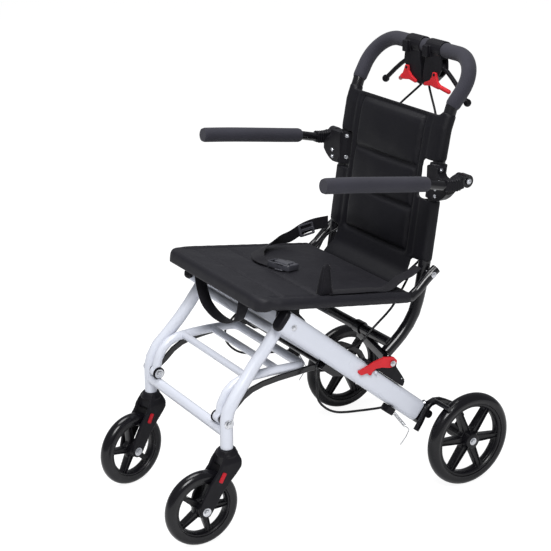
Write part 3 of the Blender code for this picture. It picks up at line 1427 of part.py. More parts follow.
def brake_bars():
    """The bars that press a round pin on each rear tyre, turned by the cables."""
    path = [
        (0.173, 0.133), (0.184, 0.149), (0.192, 0.164), (0.200, 0.176), (0.209, 0.184),
    ]
    pin_y = REAR_AXLE_Y - BRAKE_PIN_AHEAD
    reach = REAR_RADIUS + BRAKE_PIN_RADIUS + BRAKE_PIN_CLEARANCE
    pin_z = REAR_RADIUS + math.sqrt(reach ** 2 - (pin_y - REAR_AXLE_Y) ** 2)
    half = BRAKE_BAR_WIDTH / 2
    for name, side in SIDES:
        route = flowing([at(side * BRAKE_BAR_X, spot) for spot in [*path, (pin_y, pin_z)]], 2)
        section = rounded_bar(BRAKE_BAR_WIDTH, BRAKE_BAR_DEPTH, 0.002, 1)
        bar = to_object(
            f"brake_bar_{name}", sweep(route, section), "black_paint", at(0, brake_pivot())
        )
        inner, outer = side * (BRAKE_BAR_X - half), side * (REAR_WHEEL_X + REAR_WIDTH / 2)
        join(bar, cross_rod(inner, outer, pin_y, pin_z, BRAKE_PIN_RADIUS))
        eye = (inner, side * (BRAKE_BAR_X + half))
        join(bar, cross_rod(*eye, *brake_pivot(), 0.0085))
        past = (side * (BRAKE_BAR_X - 0.02), side * (BRAKE_BAR_X + 0.02))
        cut(bar, cross_rod(*past, *brake_pivot(), BRAKE_PIVOT_RADIUS + BORE_PLAY, 12))


def evenly(points, step):
    """Points at about equal steps along a fine line, with both of its ends."""
    lengths = [0.0]
    for before, after in zip(points, points[1:]):
        lengths.append(lengths[-1] + (after - before).length)
    count = max(round(lengths[-1] / step), 1)
    result = []
    index = 0
    for n in range(count + 1):
        wanted = lengths[-1] * n / count
        while index < len(points) - 2 and lengths[index + 1] < wanted:
            index += 1
        share = (wanted - lengths[index]) / (lengths[index + 1] - lengths[index])
        result.append(points[index].lerp(points[index + 1], share))
    return result


def cable(name, points):
    """A round brake cable through the given points."""
    data = bpy.data.curves.new(name, "CURVE")
    data.dimensions = "3D"
    data.bevel_depth = CABLE_RADIUS
    data.bevel_resolution = 2
    data.use_fill_caps = True
    smooth = evenly(flowing(points, 6), CABLE_STEP)
    line = data.splines.new("POLY")
    line.points.add(len(smooth) - 1)
    for point, place in zip(line.points, smooth):
        point.co = (*place, 1)
    data.materials.append(MATERIALS["cable_jacket"])
    made = bpy.data.objects.new(name, data)
    bpy.context.scene.collection.objects.link(made)


def cables():
    """The brake cables: from the levers down the back, and on along the rails."""
    upper = [
        (0.0125, 0.3160, 0.7960), (0.0200, 0.3130, 0.7880), (0.0340, 0.3080, 0.7740),
        (0.0560, 0.3000, 0.7520), (0.0820, 0.2880, 0.7220), (0.1080, 0.2700, 0.6850),
        (0.1230, 0.2550, 0.6450), (0.1270, 0.2460, 0.6000), (0.1290, 0.2400, 0.5550),
        (0.1310, 0.2320, 0.5150), (0.1350, 0.2190, 0.4850), (0.1370, 0.2050, 0.4730),
        (0.1400, 0.1900, 0.4660), (0.1450, 0.1800, 0.4600), (0.1500, 0.1720, 0.4500),
        (0.1500, 0.1640, 0.4370), (0.1500, 0.1540, 0.4220), (0.1500, 0.1380, 0.3990),
        (0.1500, 0.1220, 0.3840), (0.1500, 0.1060, 0.3720), (0.1500, 0.0850, 0.3560),
        (0.1500, 0.0680, 0.3410),
    ]
    lower = [
        (0.1500, 0.0668, 0.3398), (0.1510, 0.0500, 0.3330), (0.1520, 0.0179, 0.3305),
        (0.1530, -0.0118, 0.3280), (0.1530, -0.0321, 0.3240), (0.1550, -0.0450, 0.3170),
        (0.1610, -0.0520, 0.3060), (0.1690, -0.0560, 0.2930), (0.1760, -0.0590, 0.2790),
        (0.1770, -0.0590, 0.2580), (0.1770, -0.0520, 0.2420), (0.1770, -0.0350, 0.2250),
        (0.1770, -0.0150, 0.2140), (0.1770, 0.0080, 0.2080), (0.1760, 0.0380, 0.2030),
        (0.1750, 0.0680, 0.1985), (0.1750, 0.0880, 0.1962), (0.1750, 0.0995, 0.1955),
    ]
    for name, side in SIDES:
        for part, points in (("upper", upper), ("lower", lower)):
            cable(f"{part}_cable_{name}", [(side * x, y, z) for x, y, z in points])


clear_scene()
MATERIALS = make_materials()
paint_rails()
rear_cross_tube()
axle_arms()
rear_axles()
rear_wheels()
brake_bars()
cable_stops()
leg_frame()
fold_bolts()
casters()
footrest()
foot_bolts()
link_frame()
lock_brackets()
fold_levers()
seat_frame()
seat_pad()
pull_strap()
lap_belts()
back_frame()
back_bolts()
handle_grip()
back_pad()
arm_brackets()
armrests()
brake_bodies()
brake_levers()
parking_locks()
cables()
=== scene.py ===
"""The look of a folding transport chair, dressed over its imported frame.

Lengths are metres and angles are degrees. +Z is up, the chair faces -Y and +X is the
left of the person who sits in it.
"""

import math

import bmesh
import bpy
from mathutils import Matrix, Vector
from mathutils.bvhtree import BVHTree


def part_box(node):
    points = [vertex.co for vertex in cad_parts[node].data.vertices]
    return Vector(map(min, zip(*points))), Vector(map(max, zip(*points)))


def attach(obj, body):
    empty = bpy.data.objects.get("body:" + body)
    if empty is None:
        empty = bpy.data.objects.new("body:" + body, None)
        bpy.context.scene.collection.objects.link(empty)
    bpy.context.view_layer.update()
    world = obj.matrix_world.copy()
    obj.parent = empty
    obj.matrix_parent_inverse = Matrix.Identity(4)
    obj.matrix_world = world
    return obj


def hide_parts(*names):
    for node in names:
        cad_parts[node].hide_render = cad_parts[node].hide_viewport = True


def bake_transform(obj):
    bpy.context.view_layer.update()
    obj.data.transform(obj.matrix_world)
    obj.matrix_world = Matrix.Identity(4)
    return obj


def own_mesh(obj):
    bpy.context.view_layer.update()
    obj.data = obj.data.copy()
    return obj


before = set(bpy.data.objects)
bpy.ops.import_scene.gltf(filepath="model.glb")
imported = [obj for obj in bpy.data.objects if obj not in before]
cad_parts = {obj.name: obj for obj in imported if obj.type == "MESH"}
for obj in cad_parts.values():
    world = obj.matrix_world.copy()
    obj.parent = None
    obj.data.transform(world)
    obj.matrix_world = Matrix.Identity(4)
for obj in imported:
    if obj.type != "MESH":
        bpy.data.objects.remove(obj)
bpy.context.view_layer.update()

X_AXIS = Vector((1, 0, 0))
Y_AXIS = Vector((0, 1, 0))
Z_AXIS = Vector((0, 0, 1))
SIDES = (("left", 1), ("right", -1))

# Camera
PHOTO_SIDE = 551
SENSOR = 36.0
FOCAL_PIXELS = 1475.74
CAMERA_PLACE = (2.35169, -1.51864, 1.44111)
CAMERA_RIGHT = (0.52946, 0.84834, 0.00122)
CAMERA_UP = (-0.28073, 0.17385, 0.94391)
CAMERA_BACK = (0.80054, -0.5001, 0.3302)
CAMERA_SHIFT_PIXELS = (2.2136, -9.4173)

# Tubes and rails, as in the part
RAIL_PITCH = 39.0
FOLD = Vector((0, -0.119, 0.4157))
SEAT_SLOPE = 8.4
SEAT_HEIGHT_AT_FOLD = 0.4628
SEAT_TUBE_X = 0.18
SEAT_FRONT_Y = -0.181
SEAT_CORNER_RADIUS = 0.04
BACK_TUBE_X = 0.156
BACK_LINE = (
    (0.206, 0.462), (0.216, 0.537), (0.225, 0.608), (0.235, 0.68),
    (0.246, 0.745), (0.261, 0.788),
)
HANDLE_X = 0.171
HANDLE_Y = 0.32
HANDLE_Z = 0.8757
HANDLE_CORNER_RADIUS = 0.064
GRIP_RADIUS = 0.015
ARMREST_X = 0.222
ARM_PAD_RADIUS = 0.015
ARM_PAD_LINE = (
    (-0.082, 0.696), (-0.02, 0.6885), (0.05, 0.6788), (0.115, 0.6695), (0.155, 0.664),
)

# Casters
STEM_X = 0.1555
STEM_Y = -0.2505
TRAIL = 0.0564
SWIVEL = {"left": -1.5, "right": 12.2}
FORK_HALF = 0.023

# Wheels: radius, rim radius, tyre width, hub radius, hub width, spokes, spoke width
REAR_WHEEL = (0.1, 0.079, 0.0295, 0.017, 0.036, 6, 0.0105)
FRONT_WHEEL = (0.0767, 0.056, 0.0265, 0.014, 0.0296, 5, 0.0088)
REAR_WHEEL_X = 0.2244
REAR_AXLE_Y = 0.284
REAR_SPOKE_TURN = 53.5
FRONT_SPOKE_TURN = {"left": -3.0, "right": 26.5}

# Brake cables, with the same points as in the part
CABLE_DIAMETER = 0.0048
CABLE_STEP = 0.0045
UPPER_CABLE = (
    (0.0125, 0.316, 0.796), (0.02, 0.313, 0.788), (0.034, 0.308, 0.774),
    (0.056, 0.3, 0.752), (0.082, 0.288, 0.722), (0.108, 0.27, 0.685),
    (0.123, 0.255, 0.645), (0.127, 0.246, 0.6), (0.129, 0.24, 0.555),
    (0.131, 0.232, 0.515), (0.135, 0.219, 0.485), (0.137, 0.205, 0.473),
    (0.14, 0.19, 0.466), (0.145, 0.18, 0.46), (0.15, 0.172, 0.45),
    (0.15, 0.164, 0.437), (0.15, 0.154, 0.422), (0.15, 0.138, 0.399),
    (0.15, 0.122, 0.384), (0.15, 0.106, 0.372), (0.15, 0.085, 0.356),
    (0.15, 0.068, 0.341),
)
LOWER_CABLE = (
    (0.15, 0.0668, 0.3398), (0.151, 0.05, 0.333), (0.152, 0.0179, 0.3305),
    (0.153, -0.0118, 0.328), (0.153, -0.0321, 0.324), (0.155, -0.045, 0.317),
    (0.161, -0.052, 0.306), (0.169, -0.056, 0.293), (0.176, -0.059, 0.279),
    (0.177, -0.059, 0.258), (0.177, -0.052, 0.242), (0.177, -0.035, 0.225),
    (0.177, -0.015, 0.214), (0.177, 0.008, 0.208), (0.176, 0.038, 0.203),
    (0.175, 0.068, 0.1985), (0.175, 0.088, 0.1962), (0.175, 0.0995, 0.1955),
)


# Paths and sections

def flowing(points, steps):
    """Points on a smooth curve through the given points."""
    points = [Vector(point) for point in points]
    padded = [points[0] * 2 - points[1], *points, points[-1] * 2 - points[-2]]
    result = []
    for a, b, c, d in zip(padded, padded[1:], padded[2:], padded[3:]):
        for step in range(steps):
            t = step / steps
            result.append(0.5 * (
                2 * b + (c - a) * t
                + (2 * a - 5 * b + 4 * c - d) * t ** 2
                + (3 * b - a - 3 * c + d) * t ** 3
            ))
    result.append(points[-1])
    return result


def evenly(points, step):
    """Points at about equal steps along a fine line, with both of its ends."""
    lengths = [0.0]
    for before, after in zip(points, points[1:]):
        lengths.append(lengths[-1] + (after - before).length)
    count = max(round(lengths[-1] / step), 1)
    result = []
    index = 0
    for n in range(count + 1):
        wanted = lengths[-1] * n / count
        while index < len(points) - 2 and lengths[index + 1] < wanted:
            index += 1
        share = (wanted - lengths[index]) / (lengths[index + 1] - lengths[index])
        result.append(points[index].lerp(points[index + 1], share))
    return result


def soften(points, radius, steps=6, closed=False, share=0.48):
    """Rounds the corners of a path or an outline with arcs."""
    points = [Vector(point) for point in points]
    result = []
    count = len(points)
    for index, corner in enumerate(points):
        if not closed and index in (0, count - 1):
            result.append(corner)
            continue
        back = points[index - 1] - corner
        ahead = points[(index + 1) % count] - corner
        turn = math.pi - back.angle(ahead)
        if turn < 0.02:
            result.append(corner)
            continue
        reach = min(radius * math.tan(turn / 2), share * min(back.length, ahead.length))
        start = corner + back.normalized() * reach
        end = corner + ahead.normalized() * reach
        middle = (back.normalized() + ahead.normalized()).normalized()
        centre = corner + middle * (reach / math.sin(turn / 2))
        arm = (start - centre).length
        for step in range(steps + 1):
            way = (start - centre).slerp(end - centre, step / steps)
            result.append(centre + way.normalized() * arm)
    return result


def circle(radius, sides):
    return [
        (radius * math.cos(math.tau * n / sides), radius * math.sin(math.tau * n / sides))
        for n in range(sides)
    ]


def rounded_bar(width, depth, radius, steps=4):
    """A rectangular section with round corners."""
    corners = []
    for n, (side, end) in enumerate(((1, 1), (-1, 1), (-1, -1), (1, -1))):
        for step in range(steps + 1):
            angle = math.pi / 2 * (n + step / steps)
            corners.append((
                side * (width / 2 - radius) + radius * math.cos(angle),
                end * (depth / 2 - radius) + radius * math.sin(angle),
            ))
    return corners


def on_rail(along, up):
    """The (y, z) of a point given along the rail from the fold bolt and square to it."""
    pitch = math.radians(RAIL_PITCH)
    return (
        FOLD.y + along * math.cos(pitch) + up * math.sin(pitch),
        FOLD.z - along * math.sin(pitch) + up * math.cos(pitch),
    )


def seat_point(along, up):
    """The (y, z) of a point given along the seat tube from the fold bolt and square to it."""
    slope = math.radians(SEAT_SLOPE)
    return (
        FOLD.y + along * math.cos(slope) + up * math.sin(slope),
        SEAT_HEIGHT_AT_FOLD - along * math.sin(slope) + up * math.cos(slope),
    )


def back_y(height):
    for (y_low, low), (y_high, high) in zip(BACK_LINE, BACK_LINE[1:]):
        if low <= height <= high:
            return y_low + (y_high - y_low) * (height - low) / (high - low)
    raise ValueError("this height is above or below the back tube")


def back_stretch(low, high):
    """The part of the back tube's centre line between two heights, with both ends."""
    inside = [place for place in BACK_LINE if low < place[1] < high]
    return [(back_y(low), low), *inside, (back_y(high), high)]


def mirrored(point):
    return Vector((-point[0], point[1], point[2]))


# Solids

def skin(solid, rings):
    """Joins rings of points one after the other and closes both ends."""
    count = len(rings[0])
    for ring, following in zip(rings, rings[1:]):
        for n in range(count):
            m = (n + 1) % count
            solid.faces.new((ring[n], ring[m], following[m], following[n]))
    solid.faces.new(rings[0])
    solid.faces.new(rings[-1])


def sweep(path, section, across=X_AXIS, scale=lambda share: 1.0):
    """A solid whose section follows a path, with a mitre at each corner."""
    path = [Vector(point) for point in path]
    runs = [(after - before).normalized() for before, after in zip(path, path[1:])]
    if abs(runs[0].dot(across)) > 0.95:
        across = Z_AXIS
    side = (across - runs[0] * across.dot(runs[0])).normalized()
    solid = bmesh.new()
    rings = []
    for index, point in enumerate(path):
        before = runs[max(index - 1, 0)]
        after = runs[min(index, len(runs) - 1)]
        mitre = (before + after).normalized()
        up = before.cross(side)
        size = scale(index / (len(path) - 1))
        ring = []
        for along_side, along_up in section:
            offset = (side * along_side + up * along_up) * size
            offset -= before * (offset.dot(mitre) / before.dot(mitre))
            ring.append(solid.verts.new(point + offset))
        rings.append(ring)
        side = before.rotation_difference(after) @ side
    skin(solid, rings)
    return solid


def rod(start, end, radius, sides=24):
    return sweep([start, end], circle(radius, sides))


def turned(profile, sides=48):
    """A solid turned about X from (radius, x) points, ending on the axis or as a ring."""
    solid = bmesh.new()
    rows = []
    for radius, along in profile:
        if radius == 0:
            rows.append([solid.verts.new((along, 0, 0))])
            continue
        rows.append([
            solid.verts.new((along, radius * math.cos(turn), radius * math.sin(turn)))
            for turn in (math.tau * n / sides for n in range(sides))
        ])
    pairs = list(zip(rows, rows[1:]))
    if len(rows[0]) > 1:
        pairs.append((rows[-1], rows[0]))
    for row, following in pairs:
        for n in range(sides):
            m = (n + 1) % sides
            corners = [row[n % len(row)], row[m % len(row)]]
            corners += [following[m % len(following)], following[n % len(following)]]
            solid.faces.new(list(dict.fromkeys(corners)))
    return solid


def merged(*solids):
    """Several closed solids kept as they are in one bmesh."""
    whole = bmesh.new()
    for solid in solids:
        mesh = bpy.data.meshes.new("part_of_merged")
        solid.to_mesh(mesh)
        solid.free()
        whole.from_mesh(mesh)
        bpy.data.meshes.remove(mesh)
    return whole


def new_object(name, data):
    """Links an object to the scene for a mesh, a curve, a lamp or a camera."""
    made = bpy.data.objects.new(name, data)
    bpy.context.scene.collection.objects.link(made)
    return made


def drawn(points, closed=False, **settings):
    """A curve with one straight-sided line for each list of points."""
    data = bpy.data.curves.new("line", "CURVE")
    for setting, value in settings.items():
        setattr(data, setting, value)
    for places in points:
        line = data.splines.new("POLY")
        line.points.add(len(places) - 1)
        line.use_cyclic_u = closed
        for point, place in zip(line.points, places):
            point.co = (*place, 1)
    return data


def box_corners(node):
    return (Vector(corner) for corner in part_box(node))


def on_side(points, side):
    """Points given for the chair's left, or their mirror for its right."""
    return [Vector((side * x, y, z)) for x, y, z in points]


def placed(solid, matrix):
    bmesh.ops.transform(solid, matrix=matrix, verts=solid.verts)
    return solid


def piece(name, solid, material, body, replaces=(), sharp=40):
    """Makes a bmesh into a piece that rides on a body, or on none when no body is given."""
    bmesh.ops.recalc_face_normals(solid, faces=solid.faces)
    mesh = bpy.data.meshes.new(name)
    solid.to_mesh(mesh)
    solid.free()
    mesh.shade_smooth()
    mesh.set_sharp_from_angle(angle=math.radians(sharp))
    mesh.materials.append(MATERIALS[material])
    made = new_object(name, mesh)
    if body:
        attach(made, body)
    for node in replaces:
        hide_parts(node)
    return made


# Materials

THREAD_SPACING = 0.0009
RIB_SPACING = 0.0012


def add_node(tree, kind, values=None, links=None, **settings):
    """A shader node with its sockets' values, the sources linked to it and its settings."""
    made = tree.nodes.new(kind)
    for setting, value in settings.items():
        setattr(made, setting, value)
    for socket, value in (values or {}).items():
        made.inputs[socket].default_value = value
    for socket, source in (links or {}).items():
        tree.links.new(source, made.inputs[socket])
    return made


class Finish:
    """One procedural material: a Principled shader with nodes for its detail."""

    def __init__(self, name, colour, roughness, metallic=0.0, **sockets):
        self.material = bpy.data.materials.new(name)
        self.material.use_nodes = True
        self.tree = self.material.node_tree
        self.inputs = self.tree.nodes["Principled BSDF"].inputs
        self.inputs["Base Color"].default_value = (*colour, 1)
        self.inputs["Roughness"].default_value = roughness
        self.inputs["Metallic"].default_value = metallic
        for socket, value in sockets.items():
            self.inputs[socket.replace("_", " ")].default_value = value
        self.colour = colour
        self.roughness = roughness
        self.place = self.node("ShaderNodeTexCoord").outputs["Object"]
        self.normal = None

    def node(self, kind, values=None, links=None, **settings):
        return add_node(self.tree, kind, values, links, **settings)

    def link(self, source, socket):
        self.tree.links.new(source, self.inputs[socket])

    def noise(self, scale, detail=3.0, stretch=(1, 1, 1)):
        mapping = self.node("ShaderNodeMapping", {"Scale": stretch}, {"Vector": self.place})
        values = {"Scale": scale, "Detail": detail}
        noise = self.node("ShaderNodeTexNoise", values, {"Vector": mapping.outputs[0]})
        return noise.outputs["Fac"]

    def cells(self, scale):
        cells = self.node("ShaderNodeTexVoronoi", {"Scale": scale}, {"Vector": self.place})
        return cells.outputs["Distance"]

    def bands(self, spacing, direction, turn=(0, 0, 0)):
        """Even ridges across one axis, a given distance apart."""
        turn = [math.radians(angle) for angle in turn]
        mapping = self.node("ShaderNodeMapping", {"Rotation": turn}, {"Vector": self.place})
        return self.node(
            "ShaderNodeTexWave", {"Scale": math.tau / 20 / spacing},
            {"Vector": mapping.outputs[0]}, wave_type="BANDS", bands_direction=direction,
        ).outputs["Fac"]

    def product(self, one, two):
        return self.node("ShaderNodeMath", None, {0: one, 1: two}, operation="MULTIPLY").outputs[0]

    def bump(self, source, distance, strength=1.0):
        """Adds relief of a given height in metres."""
        links = {"Height": source}
        if self.normal is not None:
            links["Normal"] = self.normal
        values = {"Distance": distance, "Strength": strength}
        self.normal = self.node("ShaderNodeBump", values, links).outputs["Normal"]
        self.link(self.normal, "Normal")

    def ramp(self, source, low, high):
        """A value that runs from low to high as the source goes from 0.3 to 0.7."""
        values = {"From Min": 0.3, "From Max": 0.7, "To Min": low, "To Max": high}
        return self.node("ShaderNodeMapRange", values, {"Value": source}).outputs["Result"]

    def vary_roughness(self, source, spread):
        spans = (self.roughness - spread, self.roughness + spread)
        self.link(self.ramp(source, *spans), "Roughness")

    def vary_colour(self, source, spread):
        """Lighter and darker patches, by a share of the colour."""
        mix = self.node("ShaderNodeMix", None, {0: self.ramp(source, 0.0, 1.0)}, data_type="RGBA")
        for socket, share in ((6, 1 - spread), (7, 1 + spread)):
            mix.inputs[socket].default_value = (*[min(c * share, 1) for c in self.colour], 1)
        self.link(mix.outputs[2], "Base Color")


def paint(name, colour, roughness, coat):
    finish = Finish(
        name, colour, roughness, Coat_Weight=coat, Coat_Roughness=0.1, Specular_IOR_Level=0.4
    )
    finish.vary_roughness(finish.noise(30), 0.04)
    finish.vary_colour(finish.noise(14), 0.012)
    finish.bump(finish.noise(220, 2), 0.000006, 0.5)
    return finish.material


def plastic(name, colour, roughness, grain, coat=0.0, specular=0.16):
    finish = Finish(
        name, colour, roughness, Coat_Weight=coat, Coat_Roughness=0.2, Specular_IOR_Level=specular
    )
    finish.vary_roughness(finish.noise(60), 0.07)
    finish.vary_colour(finish.noise(25), 0.1)
    finish.bump(finish.cells(1500), grain, 0.6)
    return finish.material


def steel(name, colour, roughness):
    finish = Finish(name, colour, roughness, 1.0)
    finish.vary_roughness(finish.noise(180, 4, (1, 6, 6)), 0.1)
    finish.vary_colour(finish.noise(90), 0.08)
    finish.bump(finish.noise(900, 2, (1, 8, 8)), 0.00003, 0.6)
    return finish.material


def rubber(name, colour):
    finish = Finish(name, colour, 0.21, Specular_IOR_Level=0.32)
    finish.vary_roughness(finish.noise(40), 0.05)
    finish.vary_colour(finish.noise(35), 0.12)
    finish.bump(finish.noise(260, 3), 0.000012, 0.5)
    return finish.material


def foam(name, colour):
    finish = Finish(
        name, colour, 0.82, Sheen_Weight=0.1, Sheen_Roughness=0.5, Specular_IOR_Level=0.15
    )
    finish.vary_roughness(finish.noise(50), 0.06)
    finish.vary_colour(finish.noise(14), 0.07)
    finish.bump(finish.cells(1100), 0.00016, 0.5)
    finish.bump(finish.noise(160, 4), 0.00018, 0.4)
    return finish.material


def cloth(name, colour, turn=(0, 0, 0)):
    """A satiny plain weave: two sets of threads, each pressed down where the other crosses."""
    finish = Finish(
        name, colour, 0.58, Sheen_Weight=0.02, Sheen_Roughness=0.4, Specular_IOR_Level=0.26
    )
    warp = finish.bands(THREAD_SPACING, "X", turn)
    weft = finish.bands(THREAD_SPACING, "Y", turn)
    finish.vary_roughness(finish.noise(40), 0.05)
    finish.vary_colour(finish.noise(18, 4), 0.08)
    finish.bump(finish.product(warp, weft), THREAD_SPACING * 0.1, 0.4)
    finish.bump(finish.noise(45, 4), 0.0005, 0.25)
    return finish.material


def webbing(name, colour):
    finish = Finish(
        name, colour, 0.7, Sheen_Weight=0.08, Sheen_Roughness=0.4, Specular_IOR_Level=0.2
    )
    finish.vary_roughness(finish.noise(80), 0.06)
    finish.vary_colour(finish.noise(60, 3), 0.15)
    finish.bump(finish.bands(RIB_SPACING, "Y"), 0.00018, 0.5)
    finish.bump(finish.noise(900, 2), 0.00006, 0.4)
    return finish.material


def make_materials():
    recipes = (
        (paint, "white_paint", (0.625, 0.648, 0.72), 0.3, 0.3),
        (paint, "black_paint", (0.0055, 0.0052, 0.0068), 0.22, 0.1),
        (plastic, "black_plastic", (0.0068, 0.0064, 0.0086), 0.44, 0.00005),
        # The buckle plastic is a lighter grey than the black plastics. Part of that is the
        # buckle's own grey, and part is a painted highlight on the socket's top.
        (plastic, "buckle_plastic", (0.045, 0.045, 0.055), 0.34, 0.00004, 0.2, 0.4),
        (plastic, "wheel_plastic", (0.0048, 0.0046, 0.0062), 0.3, 0.00003, 0.0, 0.26),
        (plastic, "red_plastic", (0.58, 0.022, 0.03), 0.36, 0.00004),
        (plastic, "reflector", (0.46, 0.012, 0.022), 0.25, 0.0001),
        (plastic, "cable_jacket", (0.009, 0.009, 0.01), 0.35, 0.00003, 0.1),
        (steel, "zinc_steel", (0.62, 0.63, 0.66), 0.28),
        (rubber, "grey_tyre", (0.005, 0.0048, 0.0064)),
        (foam, "foam", (0.031, 0.0305, 0.04)),
        (cloth, "black_fabric", (0.0088, 0.0084, 0.012)),
        # The back cover's cloth is darker than the seat's cloth. That darkness is painted shade on
        # the back's front, which faces away from the lamps.
        (cloth, "back_fabric", (0.0016, 0.0014, 0.0036), (90, 0, 0)),
        (webbing, "webbing", (0.0065, 0.006, 0.0088)),
    )
    return {name: recipe(name, *values) for recipe, name, *values in recipes}


MATERIALS = make_materials()


# Camera, floor and light

def add_camera():
    data = bpy.data.cameras.new("camera")
    data.sensor_width = SENSOR
    data.lens = FOCAL_PIXELS / PHOTO_SIDE * SENSOR
    data.shift_x = CAMERA_SHIFT_PIXELS[0] / PHOTO_SIDE
    data.shift_y = CAMERA_SHIFT_PIXELS[1] / PHOTO_SIDE
    camera = new_object("camera", data)
    axes = Matrix((CAMERA_RIGHT, CAMERA_UP, CAMERA_BACK)).transposed().to_4x4()
    camera.matrix_world = Matrix.Translation(CAMERA_PLACE) @ axes
    bpy.context.scene.camera = camera


def add_floor():
    """A plain pale floor, white to the camera except for the chair's shadow."""
    solid = bmesh.new()
    corners = ((-1, -1), (1, -1), (1, 1), (-1, 1))
    solid.faces.new([
        solid.verts.new((x * FLOOR_HALF, y * FLOOR_HALF, FLOOR_Z)) for x, y in corners
    ])
    mesh = bpy.data.meshes.new("floor")
    solid.to_mesh(mesh)
    solid.free()
    floor = new_object("floor", mesh)
    finish = Finish("floor", (0.94, 0.94, 0.94), 0.9)
    finish.vary_colour(finish.noise(2), 0.01)
    whiten(finish)
    mesh.materials.append(finish.material)


def whiten(finish):
    """Makes a lit pale surface look white to the camera where no shadow falls."""
    lit = finish.node("ShaderNodeBsdfDiffuse", {"Color": (*[FLOOR_LIT_SHARE] * 3, 1)})
    glow = finish.node("ShaderNodeEmission", {"Strength": FLOOR_GLOW})
    both = finish.node("ShaderNodeAddShader", None, {0: lit.outputs[0], 1: glow.outputs[0]})
    output = next(node for node in finish.tree.nodes if node.type == "OUTPUT_MATERIAL")
    plain = output.inputs["Surface"].links[0].from_socket
    finish.tree.links.new(
        seen_white(finish.tree, plain, both.outputs[0]), output.inputs["Surface"]
    )


def seen_white(tree, plain, white):
    """One shader for the camera's own rays and another for the light on the chair."""
    rays = add_node(tree, "ShaderNodeLightPath").outputs["Is Camera Ray"]
    return add_node(tree, "ShaderNodeMixShader", None, {0: rays, 1: plain, 2: white}).outputs[0]


def add_area_light(name, place, size, power):
    data = bpy.data.lights.new(name, "AREA")
    data.shape = "DISK"
    data.size = size
    data.energy = power
    light = new_object(name, data)
    light.location = place
    light.rotation_euler = (LIGHT_TARGET - Vector(place)).to_track_quat("-Z", "Y").to_euler()


def add_world():
    """White to the camera, and a soft even light on the chair."""
    world = bpy.data.worlds.new("studio")
    world.use_nodes = True
    tree = world.node_tree
    tree.nodes.clear()
    lights = [
        add_node(tree, "ShaderNodeBackground", {"Color": colour, "Strength": strength})
        for colour, strength in (((0.94, 0.96, 1.0, 1), WORLD_STRENGTH), ((1, 1, 1, 1), 1.0))
    ]
    both = seen_white(tree, *[light.outputs[0] for light in lights])
    add_node(tree, "ShaderNodeOutputWorld", None, {"Surface": both})
    bpy.context.scene.world = world


FLOOR_HALF = 6.0
FLOOR_Z = -0.0005
WORLD_STRENGTH = 0.3
FLOOR_LIT_SHARE = 0.24
FLOOR_GLOW = 0.92
LIGHT_TARGET = Vector((0, 0, 0.4))
add_camera()
add_floor()
add_world()
add_area_light("key", place=(2.0, -1.3, 3.1), size=1.6, power=105)
add_area_light("top", place=(-0.6, -0.2, 3.0), size=1.5, power=48)
bpy.context.scene.view_settings.view_transform = "Standard"


# Brake cables

def add_cables():
    for part, points, body in (("upper", UPPER_CABLE, "back"), ("lower", LOWER_CABLE, "frame")):
        for name, side in SIDES:
            route = evenly(flowing(on_side(points, side), 8), CABLE_STEP)
            data = drawn(
                [route], dimensions="3D", bevel_depth=CABLE_DIAMETER / 2, bevel_resolution=4,
                use_fill_caps=True,
            )
            data.materials.append(MATERIALS["cable_jacket"])
            cable = new_object(f"brake_cable_{part}_{name}", data)
            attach(cable, body)
            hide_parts(f"{part}_cable_{name}")


add_cables()


# Cushions

def settled(made):
    """The piece's mesh with its modifiers worked out, as a new mesh."""
    bpy.context.view_layer.update()
    return bpy.data.meshes.new_from_object(
        made.evaluated_get(bpy.context.evaluated_depsgraph_get())
    )


def fused(made, voxel):
    """Turns overlapping closed solids into one even skin."""
    remesh = made.modifiers.new("remesh", "REMESH")
    remesh.mode = "VOXEL"
    remesh.voxel_size = voxel
    mesh = settled(made)
    made.modifiers.clear()
    material = made.data.materials[0]
    made.data = mesh
    if not mesh.materials:
        mesh.materials.append(material)


def inflate(made, pressure, rise, free):
    """Swells a cover by cloth simulation, by at most rise where free is 1 and none where 0."""
    group = made.vertex_groups.new(name="pinned")
    for vertex in made.data.vertices:
        group.add([vertex.index], 1 - free(vertex.co), "REPLACE")
    cloth_modifier = made.modifiers.new("cloth", "CLOTH")
    settings = cloth_modifier.settings
    settings.quality = 4
    settings.mass = 0.25
    settings.tension_stiffness = settings.compression_stiffness = 8
    settings.shear_stiffness = 4
    settings.bending_stiffness = 0.4
    settings.use_pressure = True
    settings.uniform_pressure_force = pressure
    settings.effector_weights.gravity = 0
    settings.vertex_group_mass = "pinned"
    scene = bpy.context.scene
    for number in range(1, SIMULATED_FRAMES + 1):
        scene.frame_set(number)
    swollen = [vertex.co.copy() for vertex in settled(made).vertices]
    made.modifiers.clear()
    scene.frame_set(1)
    for vertex, end in zip(made.data.vertices, swollen):
        move = end - vertex.co
        most = rise * free(vertex.co)
        if move.length > most:
            move *= most / move.length
        vertex.co += move


def groove(position, middle, width):
    """How deep a sewn line presses, from 0 away from it to 1 on it."""
    return math.exp(-(((position - middle) / width) ** 2))


def arch(position, low, high, power=0.6):
    """From 0 at both ends of a span to 1 in its middle, and 0 outside it."""
    if not low < position < high:
        return 0.0
    return math.sin(math.pi * (position - low) / (high - low)) ** power


def loft(columns, profile):
    """A closed solid from closed profiles of (y, z) points at places across X."""
    solid = bmesh.new()
    skin(solid, [
        [solid.verts.new((x, y, z)) for y, z in profile(x)] for x in columns
    ])
    return solid


def spread(low, high, count):
    return [low + (high - low) * n / count for n in range(count + 1)]


